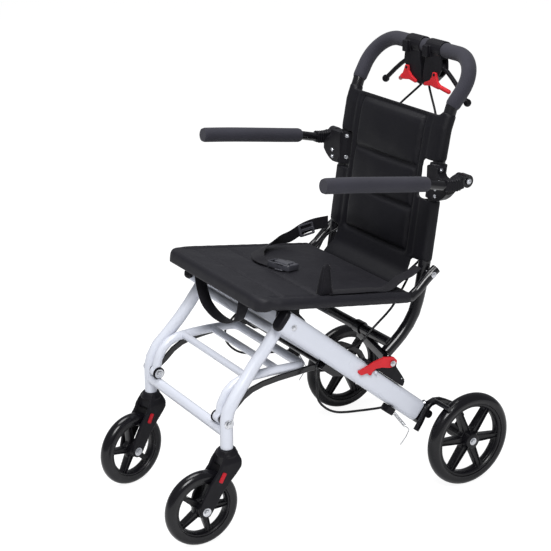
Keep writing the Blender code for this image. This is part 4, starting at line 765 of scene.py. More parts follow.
SIMULATED_FRAMES = 20
COVER_VOXEL = 0.0042
SEAT_COVER_REAR_Y = 0.1535
SEAT_COVER_CORNER = 0.022
SEAT_COVER_X = 0.184
SEAT_ROLL_RADIUS = 0.0119
SEAT_LIP_DROP = 0.0165
SEAT_LIP_FACE = 0.0113
SEAT_SEAMS_Y = (-0.137, -0.059)
SEAT_SIDE_SEAM_X = 0.1655
SEAT_TOP = 0.0092
SEAT_SWELL = 0.0022
SEAT_CROWN = 0.0012
SEAT_PRESSURE = 5.0
SEAT_RISE = 0.0038
SEAT_SEAM_DEPTH = 0.0036
SEAT_SEAM_WIDTH = 0.0048
SEAT_CREASE_WIDTH = 0.0036
PUCKER_DEPTH = 0.0004


def seat_share(place):
    """(along, up) of a place in the seat's own plane."""
    slope = math.radians(SEAT_SLOPE)
    ahead, rise = place.y - FOLD.y, place.z - SEAT_HEIGHT_AT_FOLD
    return (
        ahead * math.cos(slope) - rise * math.sin(slope),
        ahead * math.sin(slope) + rise * math.cos(slope),
    )


def seat_along(y):
    return (y - FOLD.y) / math.cos(math.radians(SEAT_SLOPE))


def seat_front_at(x):
    """The cover's front along the seat, which follows the front tube's round corners."""
    front = seat_along(SEAT_FRONT_Y)
    radius = SEAT_COVER_CORNER
    inward = min(max(abs(x) - (SEAT_COVER_X - radius), 0), radius * 0.999)
    return front + radius - math.sqrt(radius ** 2 - inward ** 2)


def seat_panel():
    """The cover's panel, rolled over the front tube, with a lip that hangs before it."""
    rear = seat_along(SEAT_COVER_REAR_Y)
    lines = [seat_along(SEAT_FRONT_Y) - 0.012, *[seat_along(y) for y in SEAT_SEAMS_Y], rear + 0.03]

    def profile(x):
        across = max(1 - (x / SEAT_COVER_X) ** 2, 0) ** 0.5
        front = seat_front_at(x)
        face = front - SEAT_LIP_FACE
        line = []
        for along in spread(rear, front + 0.006, 48):
            swell = max(arch(along, low, high, 0.5) for low, high in zip(lines, lines[1:]))
            line.append((along, SEAT_TOP + across * (SEAT_SWELL * swell + SEAT_CROWN)))
        line += [(front - 0.003, 0.011), (front - 0.0085, 0.008), (face, 0.001)]
        line += [(face, -SEAT_LIP_DROP), (face + 0.0055, -SEAT_LIP_DROP), (front, -0.006)]
        line += [(along, 0.0005) for along in spread(front + 0.012, rear, 48)]
        return [seat_point(*spot) for spot in line]

    return loft(spread(-SEAT_COVER_X, SEAT_COVER_X, 90), profile)


def seat_rolls():
    """The cover's rolled edge, round the seat tube's sides and its front corners."""
    front = seat_point(seat_along(SEAT_FRONT_Y), 0)
    rear = seat_point(seat_along(SEAT_COVER_REAR_Y), 0)
    half = soften(
        [(SEAT_TUBE_X, *rear), (SEAT_TUBE_X, *front), (0, *front)], SEAT_CORNER_RADIUS, 8
    )[:-1]
    route = half + [mirrored(point) for point in reversed(half)]
    return sweep(route, circle(SEAT_ROLL_RADIUS, 20))


def press_seat(place):
    """How far the seat cover's seams press it in, from 0 to 1."""
    along, up = seat_share(place)
    if up < 0.004 or along > seat_along(SEAT_COVER_REAR_Y) - 0.004:
        return 0.0
    inside = 1 if abs(place.x) < SEAT_SIDE_SEAM_X else 0
    depth = 0.0
    for y in SEAT_SEAMS_Y:
        depth = max(depth, inside * groove(along, seat_along(y), SEAT_SEAM_WIDTH))
    if along > seat_along(SEAT_FRONT_Y) + SEAT_CORNER_RADIUS / 2:
        crease = SEAT_SIDE_SEAM_X + 0.01 * min((along + 0.06) / 0.24, 1)
        depth = max(depth, 0.7 * groove(abs(place.x), crease, SEAT_CREASE_WIDTH))
    return depth


def near_seam(along):
    """How close a place is to one of the seat's sewn lines, from 0 to 1."""
    return max(groove(along, seat_along(y), 0.016) for y in SEAT_SEAMS_Y)


def seat_cover():
    cover = piece(
        "seat_cover", merged(seat_panel(), seat_rolls()), "black_fabric", "seat",
        ["seat_pad"], 180,
    )
    fused(cover, COVER_VOXEL)
    front, rear = seat_along(SEAT_FRONT_Y), seat_along(SEAT_COVER_REAR_Y)

    def free(place):
        along, up = seat_share(place)
        if up < 0.006 or not front < along < rear:
            return 0.0
        inside = arch(abs(place.x), -SEAT_SIDE_SEAM_X, SEAT_SIDE_SEAM_X, 0.35)
        ends = min((along - front) / 0.012, (rear - along) / 0.012, 1)
        return inside * ends * (1 - press_seat(place))

    inflate(cover, SEAT_PRESSURE, SEAT_RISE, free)
    slope = math.radians(SEAT_SLOPE)
    down = Vector((0, -math.sin(slope), -math.cos(slope)))
    for vertex in cover.data.vertices:
        along, up = seat_share(vertex.co)
        vertex.co += down * (SEAT_SEAM_DEPTH * press_seat(vertex.co))
        if up > 0.006 and front < along < rear:
            x = vertex.co.x
            slack = math.sin(x * 48 + along * 31) * math.sin(x * 21 - along * 58)
            pucker = math.sin(x * 260 + along * 20) * near_seam(along)
            vertex.co += down * (SLACK_DEPTH * slack + PUCKER_DEPTH * pucker) * free(vertex.co)
    smooth_cover(cover)
    return cover


def smooth_cover(cover):
    cover.data.shade_smooth()
    finer = cover.modifiers.new("finer", "SUBSURF")
    finer.levels = finer.render_levels = 1


BACK_COVER_LOW = 0.482
BACK_COVER_HIGH = 0.772
BACK_CUTOUT_LOW = 0.6055
BACK_CUTOUT_HIGH = 0.682
BACK_CUTOUT_X = 0.121
BACK_PANEL_X = 0.15
BACK_CUSHION_X = 0.105
BACK_CUSHION_LOW = 0.489
BACK_CUSHION_HIGH = 0.763
BACK_SEAMS_Z = (0.578, 0.661)
BACK_SLEEVE_RADIUS = 0.0141
BACK_FACE = 0.015
FRONT_FACE_DEPTH = 0.01
BACK_BULGE = 0.009
BACK_SEAM_DEPTH = 0.0058
SLACK_DEPTH = 0.0009
BACK_PRESSURE = 6.0
BACK_RISE = 0.0075
BACK_SEAM_WIDTH = 0.0045
BACK_BORDER_WIDTH = 0.0042
BACK_EDGE_GAP = 0.021
BACK_EDGE_WIDTH = 0.0035
BACK_FLAP_X = 0.13
BACK_FLAP = (
    (0.1566, 0.4215), (0.1592, 0.431), (0.17, 0.44), (0.185, 0.452), (0.1925, 0.47),
)


def section_arch(height):
    """The bulge of the back cushion's sewn sections, from 0 on a seam to 1 between two."""
    lines = (BACK_CUSHION_LOW, *BACK_SEAMS_Z, BACK_CUSHION_HIGH)
    return max(arch(height, low, high, 0.5) for low, high in zip(lines, lines[1:]))


def back_panel(x_low, x_high, low, high):
    """Part of the back cover's panel, from its rear face to its cushioned front."""
    def profile(x):
        across = arch(x, -BACK_CUSHION_X, BACK_CUSHION_X, 0.4)
        heights = spread(low, high, 40)
        line = [
            (back_y(z) - BACK_FACE - BACK_BULGE * across * section_arch(z), z) for z in heights
        ]
        return line + [(back_y(z) - 0.0065, z) for z in reversed(heights)]

    return loft(spread(x_low, x_high, 48), profile)


def back_flap():
    """The flap from the back cover down to the seat."""
    top = (back_y(BACK_COVER_LOW + 0.006) - 0.01, BACK_COVER_LOW + 0.006)
    line = flowing([(0, *spot) for spot in (*BACK_FLAP, top)], 6)
    rings = []
    for before, spot, after in zip([line[0], *line], line, [*line[1:], line[-1]]):
        ahead = (after - before).normalized()
        rings.append((spot, X_AXIS.cross(ahead)))

    def profile(x):
        front = [spot + out * 0.0034 for spot, out in rings]
        rear = [spot - out * 0.0024 for spot, out in reversed(rings)]
        return [(spot.y, spot.z) for spot in front + rear]

    return loft(spread(-BACK_FLAP_X, BACK_FLAP_X, 40), profile)


def press_back(place):
    """How far the back cover's seams press it in, from 0 to 1."""
    height = min(max(place.z, BACK_LINE[0][1] + 0.001), BACK_LINE[-1][1] - 0.001)
    if place.z < BACK_COVER_LOW or back_y(height) - place.y < FRONT_FACE_DEPTH:
        return 0.0
    across, height = abs(place.x), place.z
    depth = 0.0
    if across < BACK_CUSHION_X:
        for seam in (*BACK_SEAMS_Z, BACK_CUSHION_LOW, BACK_CUSHION_HIGH):
            depth = max(depth, groove(height, seam, BACK_SEAM_WIDTH))
    if BACK_CUSHION_LOW < height < BACK_CUSHION_HIGH:
        depth = max(depth, groove(across, BACK_CUSHION_X, BACK_BORDER_WIDTH))
        edge = groove(across, BACK_CUSHION_X + BACK_EDGE_GAP, BACK_EDGE_WIDTH)
        depth = max(depth, 0.5 * edge)
    return depth


def back_cover():
    parts = [
        back_panel(-BACK_PANEL_X, BACK_PANEL_X, BACK_COVER_LOW, BACK_CUTOUT_LOW),
        back_panel(-BACK_CUTOUT_X, BACK_CUTOUT_X, BACK_CUTOUT_LOW - 0.01, BACK_CUTOUT_HIGH + 0.01),
        back_panel(-BACK_PANEL_X, BACK_PANEL_X, BACK_CUTOUT_HIGH, BACK_COVER_HIGH),
        back_flap(),
    ]
    for side in (1, -1):
        for low, high in (
            (BACK_COVER_LOW, BACK_CUTOUT_LOW), (BACK_CUTOUT_HIGH, BACK_COVER_HIGH + 0.003),
        ):
            route = [(side * BACK_TUBE_X, *spot) for spot in back_stretch(low, high)]
            parts.append(sweep(route, circle(BACK_SLEEVE_RADIUS, 20)))
    # The back_fabric colour holds painted shade on the cushion's front.
    cover = piece(
        "back_cover", merged(*parts), "back_fabric", "back", ["back_pad"], 180
    )
    fused(cover, COVER_VOXEL)

    def free(place):
        inside = arch(place.x, -BACK_CUSHION_X, BACK_CUSHION_X, 0.4)
        return inside * section_arch(place.z) * (1 - press_back(place))

    inflate(cover, BACK_PRESSURE, BACK_RISE, free)
    for vertex in cover.data.vertices:
        vertex.co.y += BACK_SEAM_DEPTH * press_back(vertex.co)
        x, z = vertex.co.x, vertex.co.z
        slack = math.sin(x * 46 + z * 62) * math.sin(x * 27 - z * 41)
        vertex.co.y += SLACK_DEPTH * slack * free(vertex.co)
    smooth_cover(cover)


SEAT_COVER = seat_cover()
back_cover()


# Wheels

def moulding(outlines, depth, edge):
    """A flat plastic part in the XY plane with holes and rounded edges."""
    data = drawn(
        [[(spot[0], spot[1], 0) for spot in outline] for outline in outlines], closed=True,
        dimensions="2D", fill_mode="BOTH", extrude=depth / 2 - edge, bevel_depth=edge,
        bevel_resolution=3, offset=-edge,
    )
    made = new_object("moulding", data)
    solid = bmesh.new()
    solid.from_mesh(settled(made))
    bpy.data.objects.remove(made)
    return solid


def pierced_disc(outer, hub, windows, depth, edge):
    """A flat disc across X with round-cornered windows."""
    turn = Matrix(((0, 0, 1), (1, 0, 0), (0, 1, 0))).to_4x4()
    return placed(moulding([circle(outer, 96), circle(hub, 48), *windows], depth, edge), turn)


def windows_between(spokes, spoke_width, turn, outer, inner):
    """The openings between the spokes, each with round corners."""
    shapes = []
    for number in range(spokes):
        middle = math.tau * (number + 0.5) / spokes + math.radians(turn)
        out = math.pi / spokes - math.asin(spoke_width / 2 / outer)
        back = math.pi / spokes - math.asin(spoke_width * 0.72 / inner)
        corners = [(outer, middle + out * share) for share in spread(-1, 1, 8)]
        corners += [(inner, middle + back), (inner, middle - back)]
        outline = [(0, r * math.cos(angle), r * math.sin(angle)) for r, angle in corners]
        shapes.append([(spot.y, spot.z) for spot in soften(outline, 0.0045, 5, closed=True)])
    return shapes


def spoke_ribs(spokes, spoke_width, turn, outer, inner, depth):
    """Two thin ribs along each spoke's edges."""
    ribs = []
    for number in range(spokes):
        angle = math.tau * number / spokes + math.radians(turn)
        out = Vector((0, math.cos(angle), math.sin(angle)))
        across = X_AXIS.cross(out)
        for side in (1, -1):
            start = out * inner + across * (side * spoke_width * 0.62)
            end = out * outer + across * (side * (spoke_width / 2 - 0.0012))
            ribs.append(sweep([start, end], rounded_bar(depth, 0.0017, 0.0006, 2)))
    return ribs


def tyre_solid(radius, rim, width):
    """A round tyre with a bead beside the rim and a fine step on its side walls."""
    half = width / 2
    tall = width * 0.46
    profile = [(rim + 0.0004, half * 0.8), (rim + 0.0012, half * 0.9), (rim + 0.003, half * 0.9)]
    for angle in spread(-8, 90, 12):
        turn = math.radians(angle)
        profile.append((radius - tall + tall * math.sin(turn), half * math.cos(turn)))
    profile = profile[:3] + [spot for spot in profile[3:] if spot[0] > rim + 0.0036]
    return turned(profile + [(r, -x) for r, x in reversed(profile[:-1])], 96)


def wheel(kind, name, body, sizes, turn, matrix):
    radius, rim, width, hub, hub_width, spokes, spoke_width = sizes
    tyre = placed(tyre_solid(radius, rim, width), matrix)
    piece(f"{kind}_tyre_dressed_{name}", tyre, "grey_tyre", body, [f"{kind}_tyre_{name}"], 30)
    rim_half = width * 0.39
    web = width * 0.4
    lip = rim * 0.065
    ring = turned([
        (rim, rim_half), (rim, -rim_half), (rim - lip * 0.75, -rim_half),
        (rim - lip, -rim_half + 0.0012), (rim - lip * 1.35, -web / 2 - 0.0005),
        (rim - lip * 1.35, web / 2 + 0.0005), (rim - lip, rim_half - 0.0012),
        (rim - lip * 0.75, rim_half),
    ], 96)
    half = hub_width / 2
    hub_solid = turned([
        (0.0042, half), (hub * 0.86, half), (hub * 0.96, half - 0.001),
        (hub, half - 0.004), (hub * 1.18, web / 2), (hub * 1.18, -web / 2),
        (hub, -half + 0.004), (hub * 0.96, -half + 0.001), (hub * 0.86, -half), (0.0042, -half),
    ], 64)
    outer = rim - lip * 1.6
    windows = windows_between(spokes, spoke_width, turn, outer, hub * 1.45)
    disc = pierced_disc(rim - lip * 0.9, hub * 0.8, windows, web, 0.0012)
    ribs = spoke_ribs(spokes, spoke_width, turn, rim - lip * 1.2, hub * 1.02, width * 0.62)
    solid = placed(merged(ring, hub_solid, disc, *ribs), matrix)
    piece(
        f"{kind}_wheel_dressed_{name}", solid, "wheel_plastic", body,
        [f"{kind}_wheel_{name}"], 32,
    )


def caster_matrix(name, side):
    """From a caster's own frame, with its stem on Z, to the chair's."""
    return Matrix.Translation((side * STEM_X, STEM_Y, 0)) @ Matrix.Rotation(
        math.radians(SWIVEL[name]), 4, "Z"
    )


def front_axle_matrix(name, side):
    return caster_matrix(name, side) @ Matrix.Translation((0, -TRAIL, FRONT_WHEEL[0]))


for side_name, side_sign in SIDES:
    wheel(
        "rear", side_name, f"rear_wheel_unit_{side_name}", REAR_WHEEL, REAR_SPOKE_TURN,
        Matrix.Translation((side_sign * REAR_WHEEL_X, REAR_AXLE_Y, REAR_WHEEL[0])),
    )
    wheel(
        "front", side_name, f"front_wheel_unit_{side_name}", FRONT_WHEEL,
        FRONT_SPOKE_TURN[side_name], front_axle_matrix(side_name, side_sign),
    )


# Foam sleeves

def foam_sleeve(name, route, radius, body, replaces):
    """A thick foam tube whose ends are a little rounded."""
    route = evenly(route, 0.005)

    def scale(share):
        edge = min(share, 1 - share) * (len(route) - 1)
        return 1 - 0.1 * max(1 - edge, 0) ** 2 - 0.012 * math.exp(-edge * 0.35)

    piece(name, sweep(route, circle(radius, 40), scale=scale), "foam", body, replaces, 50)


def handle_route():
    tube_top = (BACK_TUBE_X, *BACK_LINE[-1])
    bend = [
        tube_top, (HANDLE_X, HANDLE_Y, HANDLE_Z), (-HANDLE_X, HANDLE_Y, HANDLE_Z),
        mirrored(tube_top),
    ]
    return soften(bend, HANDLE_CORNER_RADIUS, 16, share=0.8)


foam_sleeve("handle_foam", handle_route(), GRIP_RADIUS, "back", ["handle_grip"])
for side_name, side_sign in SIDES:
    foam_sleeve(
        f"arm_foam_{side_name}",
        flowing([(side_sign * ARMREST_X, y, z) for y, z in ARM_PAD_LINE], 8),
        ARM_PAD_RADIUS, f"armrest_{side_name}", [f"arm_pad_{side_name}"],
    )


# Moulded plastic parts

def node_solid(node):
    """A CAD node's shape as a closed solid of its own."""
    solid = bmesh.new()
    solid.from_mesh(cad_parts[node].data)
    bmesh.ops.remove_doubles(solid, verts=solid.verts, dist=0.00002)
    return solid


def moulded(node, body, material, voxel, extras):
    """A CAD node with its added ribs run together and all its edges rounded."""
    made = piece(
        f"{node}_moulded", merged(node_solid(node), *extras), material, body, [node], 180
    )
    fused(made, voxel)
    made.data.shade_smooth()
    rounding = made.modifiers.new("rounding", "SMOOTH")
    rounding.factor = 0.5
    rounding.iterations = 4
    return made


def facing(place, direction):
    """From a frame whose X axis points outward to a place and direction."""
    turn = X_AXIS.rotation_difference(Vector(direction).normalized())
    return Matrix.Translation(place) @ turn.to_matrix().to_4x4()


def bolt_head(place, direction, washer_radius, height):
    """A washer, a hexagon and the bolt's round end, outward from a face."""
    hexagon = washer_radius * 0.7
    rise = height * 0.82
    washer = turned([
        (0, -0.0004), (washer_radius, -0.0004), (washer_radius, height * 0.22),
        (washer_radius * 0.93, height * 0.3), (0, height * 0.3),
    ], 40)
    head = turned([
        (0, 0), (hexagon, 0), (hexagon, rise * 0.85), (hexagon * 0.88, rise), (0, rise),
    ], 6)
    end = turned([
        (0, 0), (hexagon * 0.52, 0), (hexagon * 0.52, height * 0.93),
        (hexagon * 0.4, height), (0, height),
    ], 24)
    return placed(merged(washer, head, end), facing(place, direction))


def dress_bolt(node, body):
    """Gives a CAD bolt across X its washers and hexagons."""
    low, high = box_corners(node)
    middle = (low + high) / 2
    radius = (high.z - low.z) / 2
    height = radius * 0.52
    inner = Vector((low.x + height, middle.y, middle.z))
    outer = Vector((high.x - height, middle.y, middle.z))
    solid = merged(
        rod(inner, outer, BOLT_SHAFT), bolt_head(outer, X_AXIS, radius, height),
        bolt_head(inner, -X_AXIS, radius, height),
    )
    piece(f"{node}_hexagon", solid, "zinc_steel", body, [node], 30)


BOLT_SHAFT = 0.004
FORK_FACE = FORK_HALF + 0.0001
FORK_TOP_Z = 0.1885
CLAMP_START_X = 0.0095
CLAMP_WIDTH = 0.0475
CLAMP_BLOCK_WIDTH = 0.0165


def clamp_block(side):
    """The ribbed block on the front of each brake clamp on the handle."""
    start = CLAMP_START_X if side > 0 else -CLAMP_START_X - CLAMP_WIDTH
    middle = start + 0.001 + CLAMP_BLOCK_WIDTH / 2
    front = HANDLE_Y - 0.0195
    block = sweep(
        [(middle, front, HANDLE_Z - 0.017), (middle, front, HANDLE_Z + 0.006)],
        rounded_bar(CLAMP_BLOCK_WIDTH, 0.01, 0.0022, 3),
    )
    ribs = [
        rod(
            (middle + share * CLAMP_BLOCK_WIDTH, front - 0.0048, HANDLE_Z - 0.016),
            (middle + share * CLAMP_BLOCK_WIDTH, front - 0.0048, HANDLE_Z + 0.005), 0.0011, 12,
        )
        for share in (-0.34, -0.11, 0.12, 0.35)
    ]
    return [block, *ribs]


def fork_collar(side):
    """The round collar between a fork and its leg."""
    ring = turned([
        (0, 0), (0.0215, 0), (0.0215, 0.0035), (0.0195, 0.0045), (0.0195, 0.007),
        (0.018, 0.008), (0.018, 0.0105), (0.016, 0.0118), (0, 0.0118),
    ], 64)
    return placed(ring, facing((side * STEM_X, STEM_Y, FORK_TOP_Z - 0.0121), Z_AXIS))


MOULDED = {}
for side_name, side_sign in SIDES:
    for node, body, material, voxel, extras in (
        ("caster_fork", f"caster_{side_name}", "black_plastic", 0.0011, [fork_collar(side_sign)]),
        ("lock_bracket", "frame", "black_plastic", 0.001, ()),
        ("cable_stop", "frame", "black_plastic", 0.001, ()),
        ("rail_cap", "frame", "black_plastic", 0.001, ()),
        ("arm_bracket", "back", "black_plastic", 0.001, ()),
        ("brake_lever_body", "back", "black_plastic", 0.0008, clamp_block(side_sign)),
        ("brake_lever", f"brake_lever_unit_{side_name}", "black_plastic", 0.001, ()),
        ("parking_lock", f"parking_lock_unit_{side_name}", "red_plastic", 0.0008, ()),
        ("fold_lever", f"fold_lever_unit_{side_name}", "red_plastic", 0.0008, ()),
    ):
        node = f"{node}_{side_name}"
        MOULDED[node] = moulded(node, body, material, voxel, extras)
    for node, body in (
        ("rear_axle", "frame"), ("fold_bolt", "frame"), ("footrest_bolt", "legs"),
        ("back_bolt", "seat"),
    ):
        dress_bolt(f"{node}_{side_name}", body)


# Small hardware

REFLECTOR_PLACE = (-0.0218, 0.1405)
REFLECTOR_TILT = 28.8
REFLECTOR_LENGTH = 0.021
REFLECTOR_WIDTH = 0.0085
REFLECTOR_THICKNESS = 0.0012


def surface_of(*pieces):
    """The pieces' surfaces as they stand, to set other pieces down on."""
    whole = bmesh.new()
    for made in pieces:
        mesh = settled(made)
        whole.from_mesh(mesh)
        bpy.data.meshes.remove(mesh)
    tree = BVHTree.FromBMesh(whole)
    whole.free()
    return tree


def seen(surface, place):
    """Where the camera's sight line through a place meets a surface, and the way it faces."""
    eye = Vector(CAMERA_PLACE)
    way = (Vector(place) - eye).normalized()
    spot, normal, _, _ = surface.ray_cast(eye, way)
    if spot is None:
        spot, normal, _, _ = surface.find_nearest(Vector(place))
    return spot, normal if normal.dot(way) < 0 else -normal


def small_bolt(name, place, direction, radius, body):
    solid = bolt_head(place, direction, radius, radius * 0.62)
    piece(name, solid, "zinc_steel", body, sharp=30)


def bolt_pair(name, sides, spot, way, radius, body):
    """A bolt on one side of the chair and its mirror on the other."""
    small_bolt(f"{name}_{sides[0]}", spot, way, radius, body)
    small_bolt(f"{name}_{sides[1]}", mirrored(spot), mirrored(way), radius, body)


def reflector():
    """A flat rounded lens with raised rims, facing along X."""
    tilt = Matrix.Rotation(math.radians(-REFLECTOR_TILT), 4, "X")
    half = REFLECTOR_THICKNESS / 2
    lens = sweep(
        [(-half, 0, 0), (half, 0, 0)], rounded_bar(REFLECTOR_LENGTH, REFLECTOR_WIDTH, 0.002, 5)
    )
    face = sweep(
        [(half - 0.0001, 0, 0), (half + 0.0004, 0, 0)],
        rounded_bar(REFLECTOR_LENGTH - 0.003, REFLECTOR_WIDTH - 0.003, 0.0012, 5),
    )
    return placed(merged(lens, face), tilt)


def fork_hardware(name, side):
    from_caster = caster_matrix(name, side)
    for face_name, face in (("outer", side), ("inner", -side)):
        flip = Matrix.Scale(-1, 4, X_AXIS) if face < 0 else Matrix.Identity(4)
        out = from_caster @ flip
        lens = placed(reflector(), Matrix.Translation((FORK_FACE + 0.0006, *REFLECTOR_PLACE)))
        piece(
            f"reflector_{face_name}_{name}", placed(lens, out), "reflector", f"caster_{name}"
        )
        bolt = bolt_head((FORK_FACE, -TRAIL, FRONT_WHEEL[0]), X_AXIS, 0.0088, 0.0048)
        piece(
            f"front_bolt_{face_name}_{name}", placed(bolt, out), "zinc_steel",
            f"caster_{name}", sharp=30,
        )


CLAMP_BOLT_RADIUS = 0.0042
PIVOT_BOLT_RADIUS = 0.0055
LEVER_BOLT_RADIUS = 0.006
BRACKET_BOLTS_NEAR = {
    "high": (0.178, 0.1856, 0.6348), "low": (0.178, 0.1886, 0.6202),
    "outer": (0.17, 0.2306, 0.6675), "pivot": (0.232, 0.2494, 0.6575),
}
BRACKET_BOLTS_FAR = {"inner_high": (-0.15, 0.2282, 0.6678), "inner_low": (-0.15, 0.2266, 0.622)}


def bracket_hardware():
    """The bolts on the armrest clamps, each seen on one side and repeated on the other."""
    for sides, bolts in (
        (("left", "right"), BRACKET_BOLTS_NEAR), (("right", "left"), BRACKET_BOLTS_FAR),
    ):
        surface = surface_of(MOULDED[f"arm_bracket_{sides[0]}"])
        for bolt_name, place in bolts.items():
            spot, way = seen(surface, place)
            radius = PIVOT_BOLT_RADIUS if bolt_name == "pivot" else CLAMP_BOLT_RADIUS
            bolt_pair(f"bracket_bolt_{bolt_name}", sides, spot, way, radius, "back")


SPRING_TOP = (0.178, 0.1272, 0.1771)
SPRING_FOOT = (0.188, 0.1485, 0.1469)
SPRING_TURNS = 13
SPRING_RADIUS = 0.0031
SPRING_WIRE = 0.0006
SPRING_TAIL = (
    (0.188, 0.149, 0.1462), (0.19, 0.1533, 0.143), (0.1905, 0.1575, 0.1376),
    (0.1905, 0.15, 0.124), (0.19, 0.1371, 0.1092),
)


def brake_spring(name, side):
    """The spring that pulls each brake bar back, from the rail's clip to the bar."""
    top, foot = on_side((SPRING_TOP, SPRING_FOOT), side)
    along = (foot - top).normalized()
    across = along.orthogonal().normalized()
    up = along.cross(across)
    coil = []
    for share in spread(0, 1, SPRING_TURNS * 14):
        turn = math.tau * SPRING_TURNS * share
        out = across * math.cos(turn) + up * math.sin(turn)
        coil.append(top.lerp(foot, share) + out * SPRING_RADIUS)
    solid = merged(
        sweep(coil, circle(SPRING_WIRE, 8)), rod(top - along * 0.006, top, SPRING_WIRE * 1.4, 12)
    )
    spring = piece(f"brake_spring_{name}", solid, "zinc_steel", None, sharp=60)
    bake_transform(spring)
    tail = soften(on_side(SPRING_TAIL, side), 0.004, 4)
    solid = sweep(tail, circle(SPRING_WIRE * 1.5, 12))
    piece(f"brake_wire_{name}", solid, "zinc_steel", f"brake_bar_unit_{name}", sharp=60)


LEVER_PIVOT_ALONG = 0.2553
LEVER_PIVOT_UP = 0.05
STRUT = ((0.1815, 0.1123, 0.2929), (0.1815, 0.1386, 0.253), (0.1785, 0.1462, 0.2425))


def lock_strut(name, side):
    """The flat stay from the fold lever's bolt back down to the rail."""
    route = on_side(STRUT, side)
    solid = sweep(soften(route, 0.01, 4), rounded_bar(0.0024, 0.01, 0.0008, 2))
    piece(f"lock_stay_{name}", solid, "black_paint", "frame")
    low, high = box_corners(f"lock_bracket_{name}")
    outer = high.x if side > 0 else low.x
    pivot = on_rail(LEVER_PIVOT_ALONG, LEVER_PIVOT_UP)
    small_bolt(f"lever_bolt_{name}", (outer, *pivot), X_AXIS * side, LEVER_BOLT_RADIUS, "frame")
    end = route[1] + X_AXIS * (side * 0.0012)
    small_bolt(f"stay_bolt_{name}", end, X_AXIS * side, CLAMP_BOLT_RADIUS, "frame")


AXLE_ARM_BOLT = (0.182, 0.2035, 0.1869)


def axle_arm_bolts():
    surface = surface_of(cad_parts["axle_arm_left"])
    spot, way = seen(surface, AXLE_ARM_BOLT)
    bolt_pair("axle_arm_bolt", ("left", "right"), spot, way, LEVER_BOLT_RADIUS, "frame")


FOOTREST_RADIUS = 0.009
FOOT_PIVOT_Z = 0.2415


def foot_bush(name, side):
    """The black disc under the bolt head at each footrest pivot."""
    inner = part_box("footrest")[1][0] - 2 * FOOTREST_RADIUS - 0.0003
    disc = turned([
        (0, 0), (0.0128, 0), (0.0128, 0.0016), (0.0118, 0.0023), (0, 0.0023),
    ], 48)
    disc = placed(disc, facing((side * inner, STEM_Y, FOOT_PIVOT_Z), X_AXIS * -side))
    piece(f"foot_bush_{name}", disc, "black_plastic", "legs")


HOUSING_ROUTE = ((0.1955, 0.6553), (0.209, 0.6532), (0.223, 0.653), (0.237, 0.6552))
HOUSING_RIBS = 5


def arm_housing(name, side):
    """The ribbed box between an armrest's tube and its pivot."""
    route = flowing([(side * ARMREST_X, y, z) for y, z in HOUSING_ROUTE], 5)
    parts = [sweep(route, rounded_bar(0.0196, 0.0225, 0.0035, 4))]
    for share in spread(0.1, 0.78, HOUSING_RIBS):
        middle = route[round(share * (len(route) - 1))]
        ahead = (route[-1] - route[0]).normalized() * 0.0011
        parts.append(sweep(
            [middle - ahead, middle + ahead], rounded_bar(0.0212, 0.0245, 0.0035, 4)
        ))
    housing = piece(
        f"arm_housing_{name}", merged(*parts), "black_plastic", f"armrest_{name}", sharp=180
    )
    fused(housing, 0.0008)
    housing.data.shade_smooth()


LATCH_ARM = ((0.05, 0.128, 0.309), (0.105, 0.1215, 0.302), (0.161, 0.1135, 0.295))


def latch_arm():
    """The box-section arm from the back's cross bar to the near lock."""
    arm = sweep(flowing(LATCH_ARM, 4), rounded_bar(0.0185, 0.011, 0.002, 3), Z_AXIS)
    eye = rod((0.042, 0.128, 0.322), (0.062, 0.128, 0.322), 0.0135, 40)
    piece("latch_arm", merged(arm, eye), "black_paint", "back")


latch_arm()
for side_name, side_sign in SIDES:
    foot_bush(side_name, side_sign)
    arm_housing(side_name, side_sign)
    fork_hardware(side_name, side_sign)
    brake_spring(side_name, side_sign)
    lock_strut(side_name, side_sign)
bracket_hardware()
axle_arm_bolts()


# Straps and buckles

STRAP_THICKNESS = 0.0016
BELT_WIDTH = 0.027
BELT_LIFT = 0.0012
STRAP_Y = -0.169
STRAP_WIDTH = 0.025
STRAP_ROUTE = (
    (-0.086, 0.462), (-0.083, 0.4395), (-0.075, 0.419), (-0.06, 0.399),
    (-0.032, 0.387), (0.0, 0.383), (0.032, 0.387), (0.06, 0.399),
    (0.075, 0.419), (0.083, 0.4395), (0.086, 0.462),
)
BUCKLE_THICKNESS = 0.0125
BELT_ANCHOR = (0.12, 0.1)


def band(stations, thickness):
    """A woven strap from (middle point, half-width vector) stations, with rounded edges."""
    middles = flowing([middle for middle, _ in stations], 6)
    halves = flowing([half for _, half in stations], 6)
    solid = bmesh.new()
    rings = []
    for index, (middle, half) in enumerate(zip(middles, halves)):
        ahead = middles[min(index + 1, len(middles) - 1)] - middles[max(index - 1, 0)]
        face = ahead.cross(half).normalized()
        across = half.normalized()
        section = rounded_bar(2 * half.length, thickness, thickness * 0.46, 2)
        rings.append([
            solid.verts.new(middle + across * wide + face * thick) for wide, thick in section
        ])
    skin(solid, rings)
    return solid


def pull_strap():
    half = Vector((0, STRAP_WIDTH / 2, 0))
    stations = [((x, STRAP_Y, z), half) for x, z in STRAP_ROUTE]
    piece("fold_strap", band(stations, STRAP_THICKNESS), "webbing", "seat", ["pull_strap"], 60)


def flat_outline(points, radius):
    """An outline of (x, y) points with round corners, mirrored over the X axis."""
    half = [(x, y, 0) for x, y in points]
    whole = half + [(x, -y, 0) for x, y in reversed(points)]
    return [(spot.x, spot.y) for spot in soften(whole, radius, 5, closed=True)]


def oblong(x, y, length, width, radius=0.001):
    corners = [
        (x + u * length / 2, y + v * width / 2, 0) for u, v in ((-1, -1), (1, -1), (1, 1), (-1, 1))
    ]
    return [(spot.x, spot.y) for spot in soften(corners, radius, 4, closed=True)]


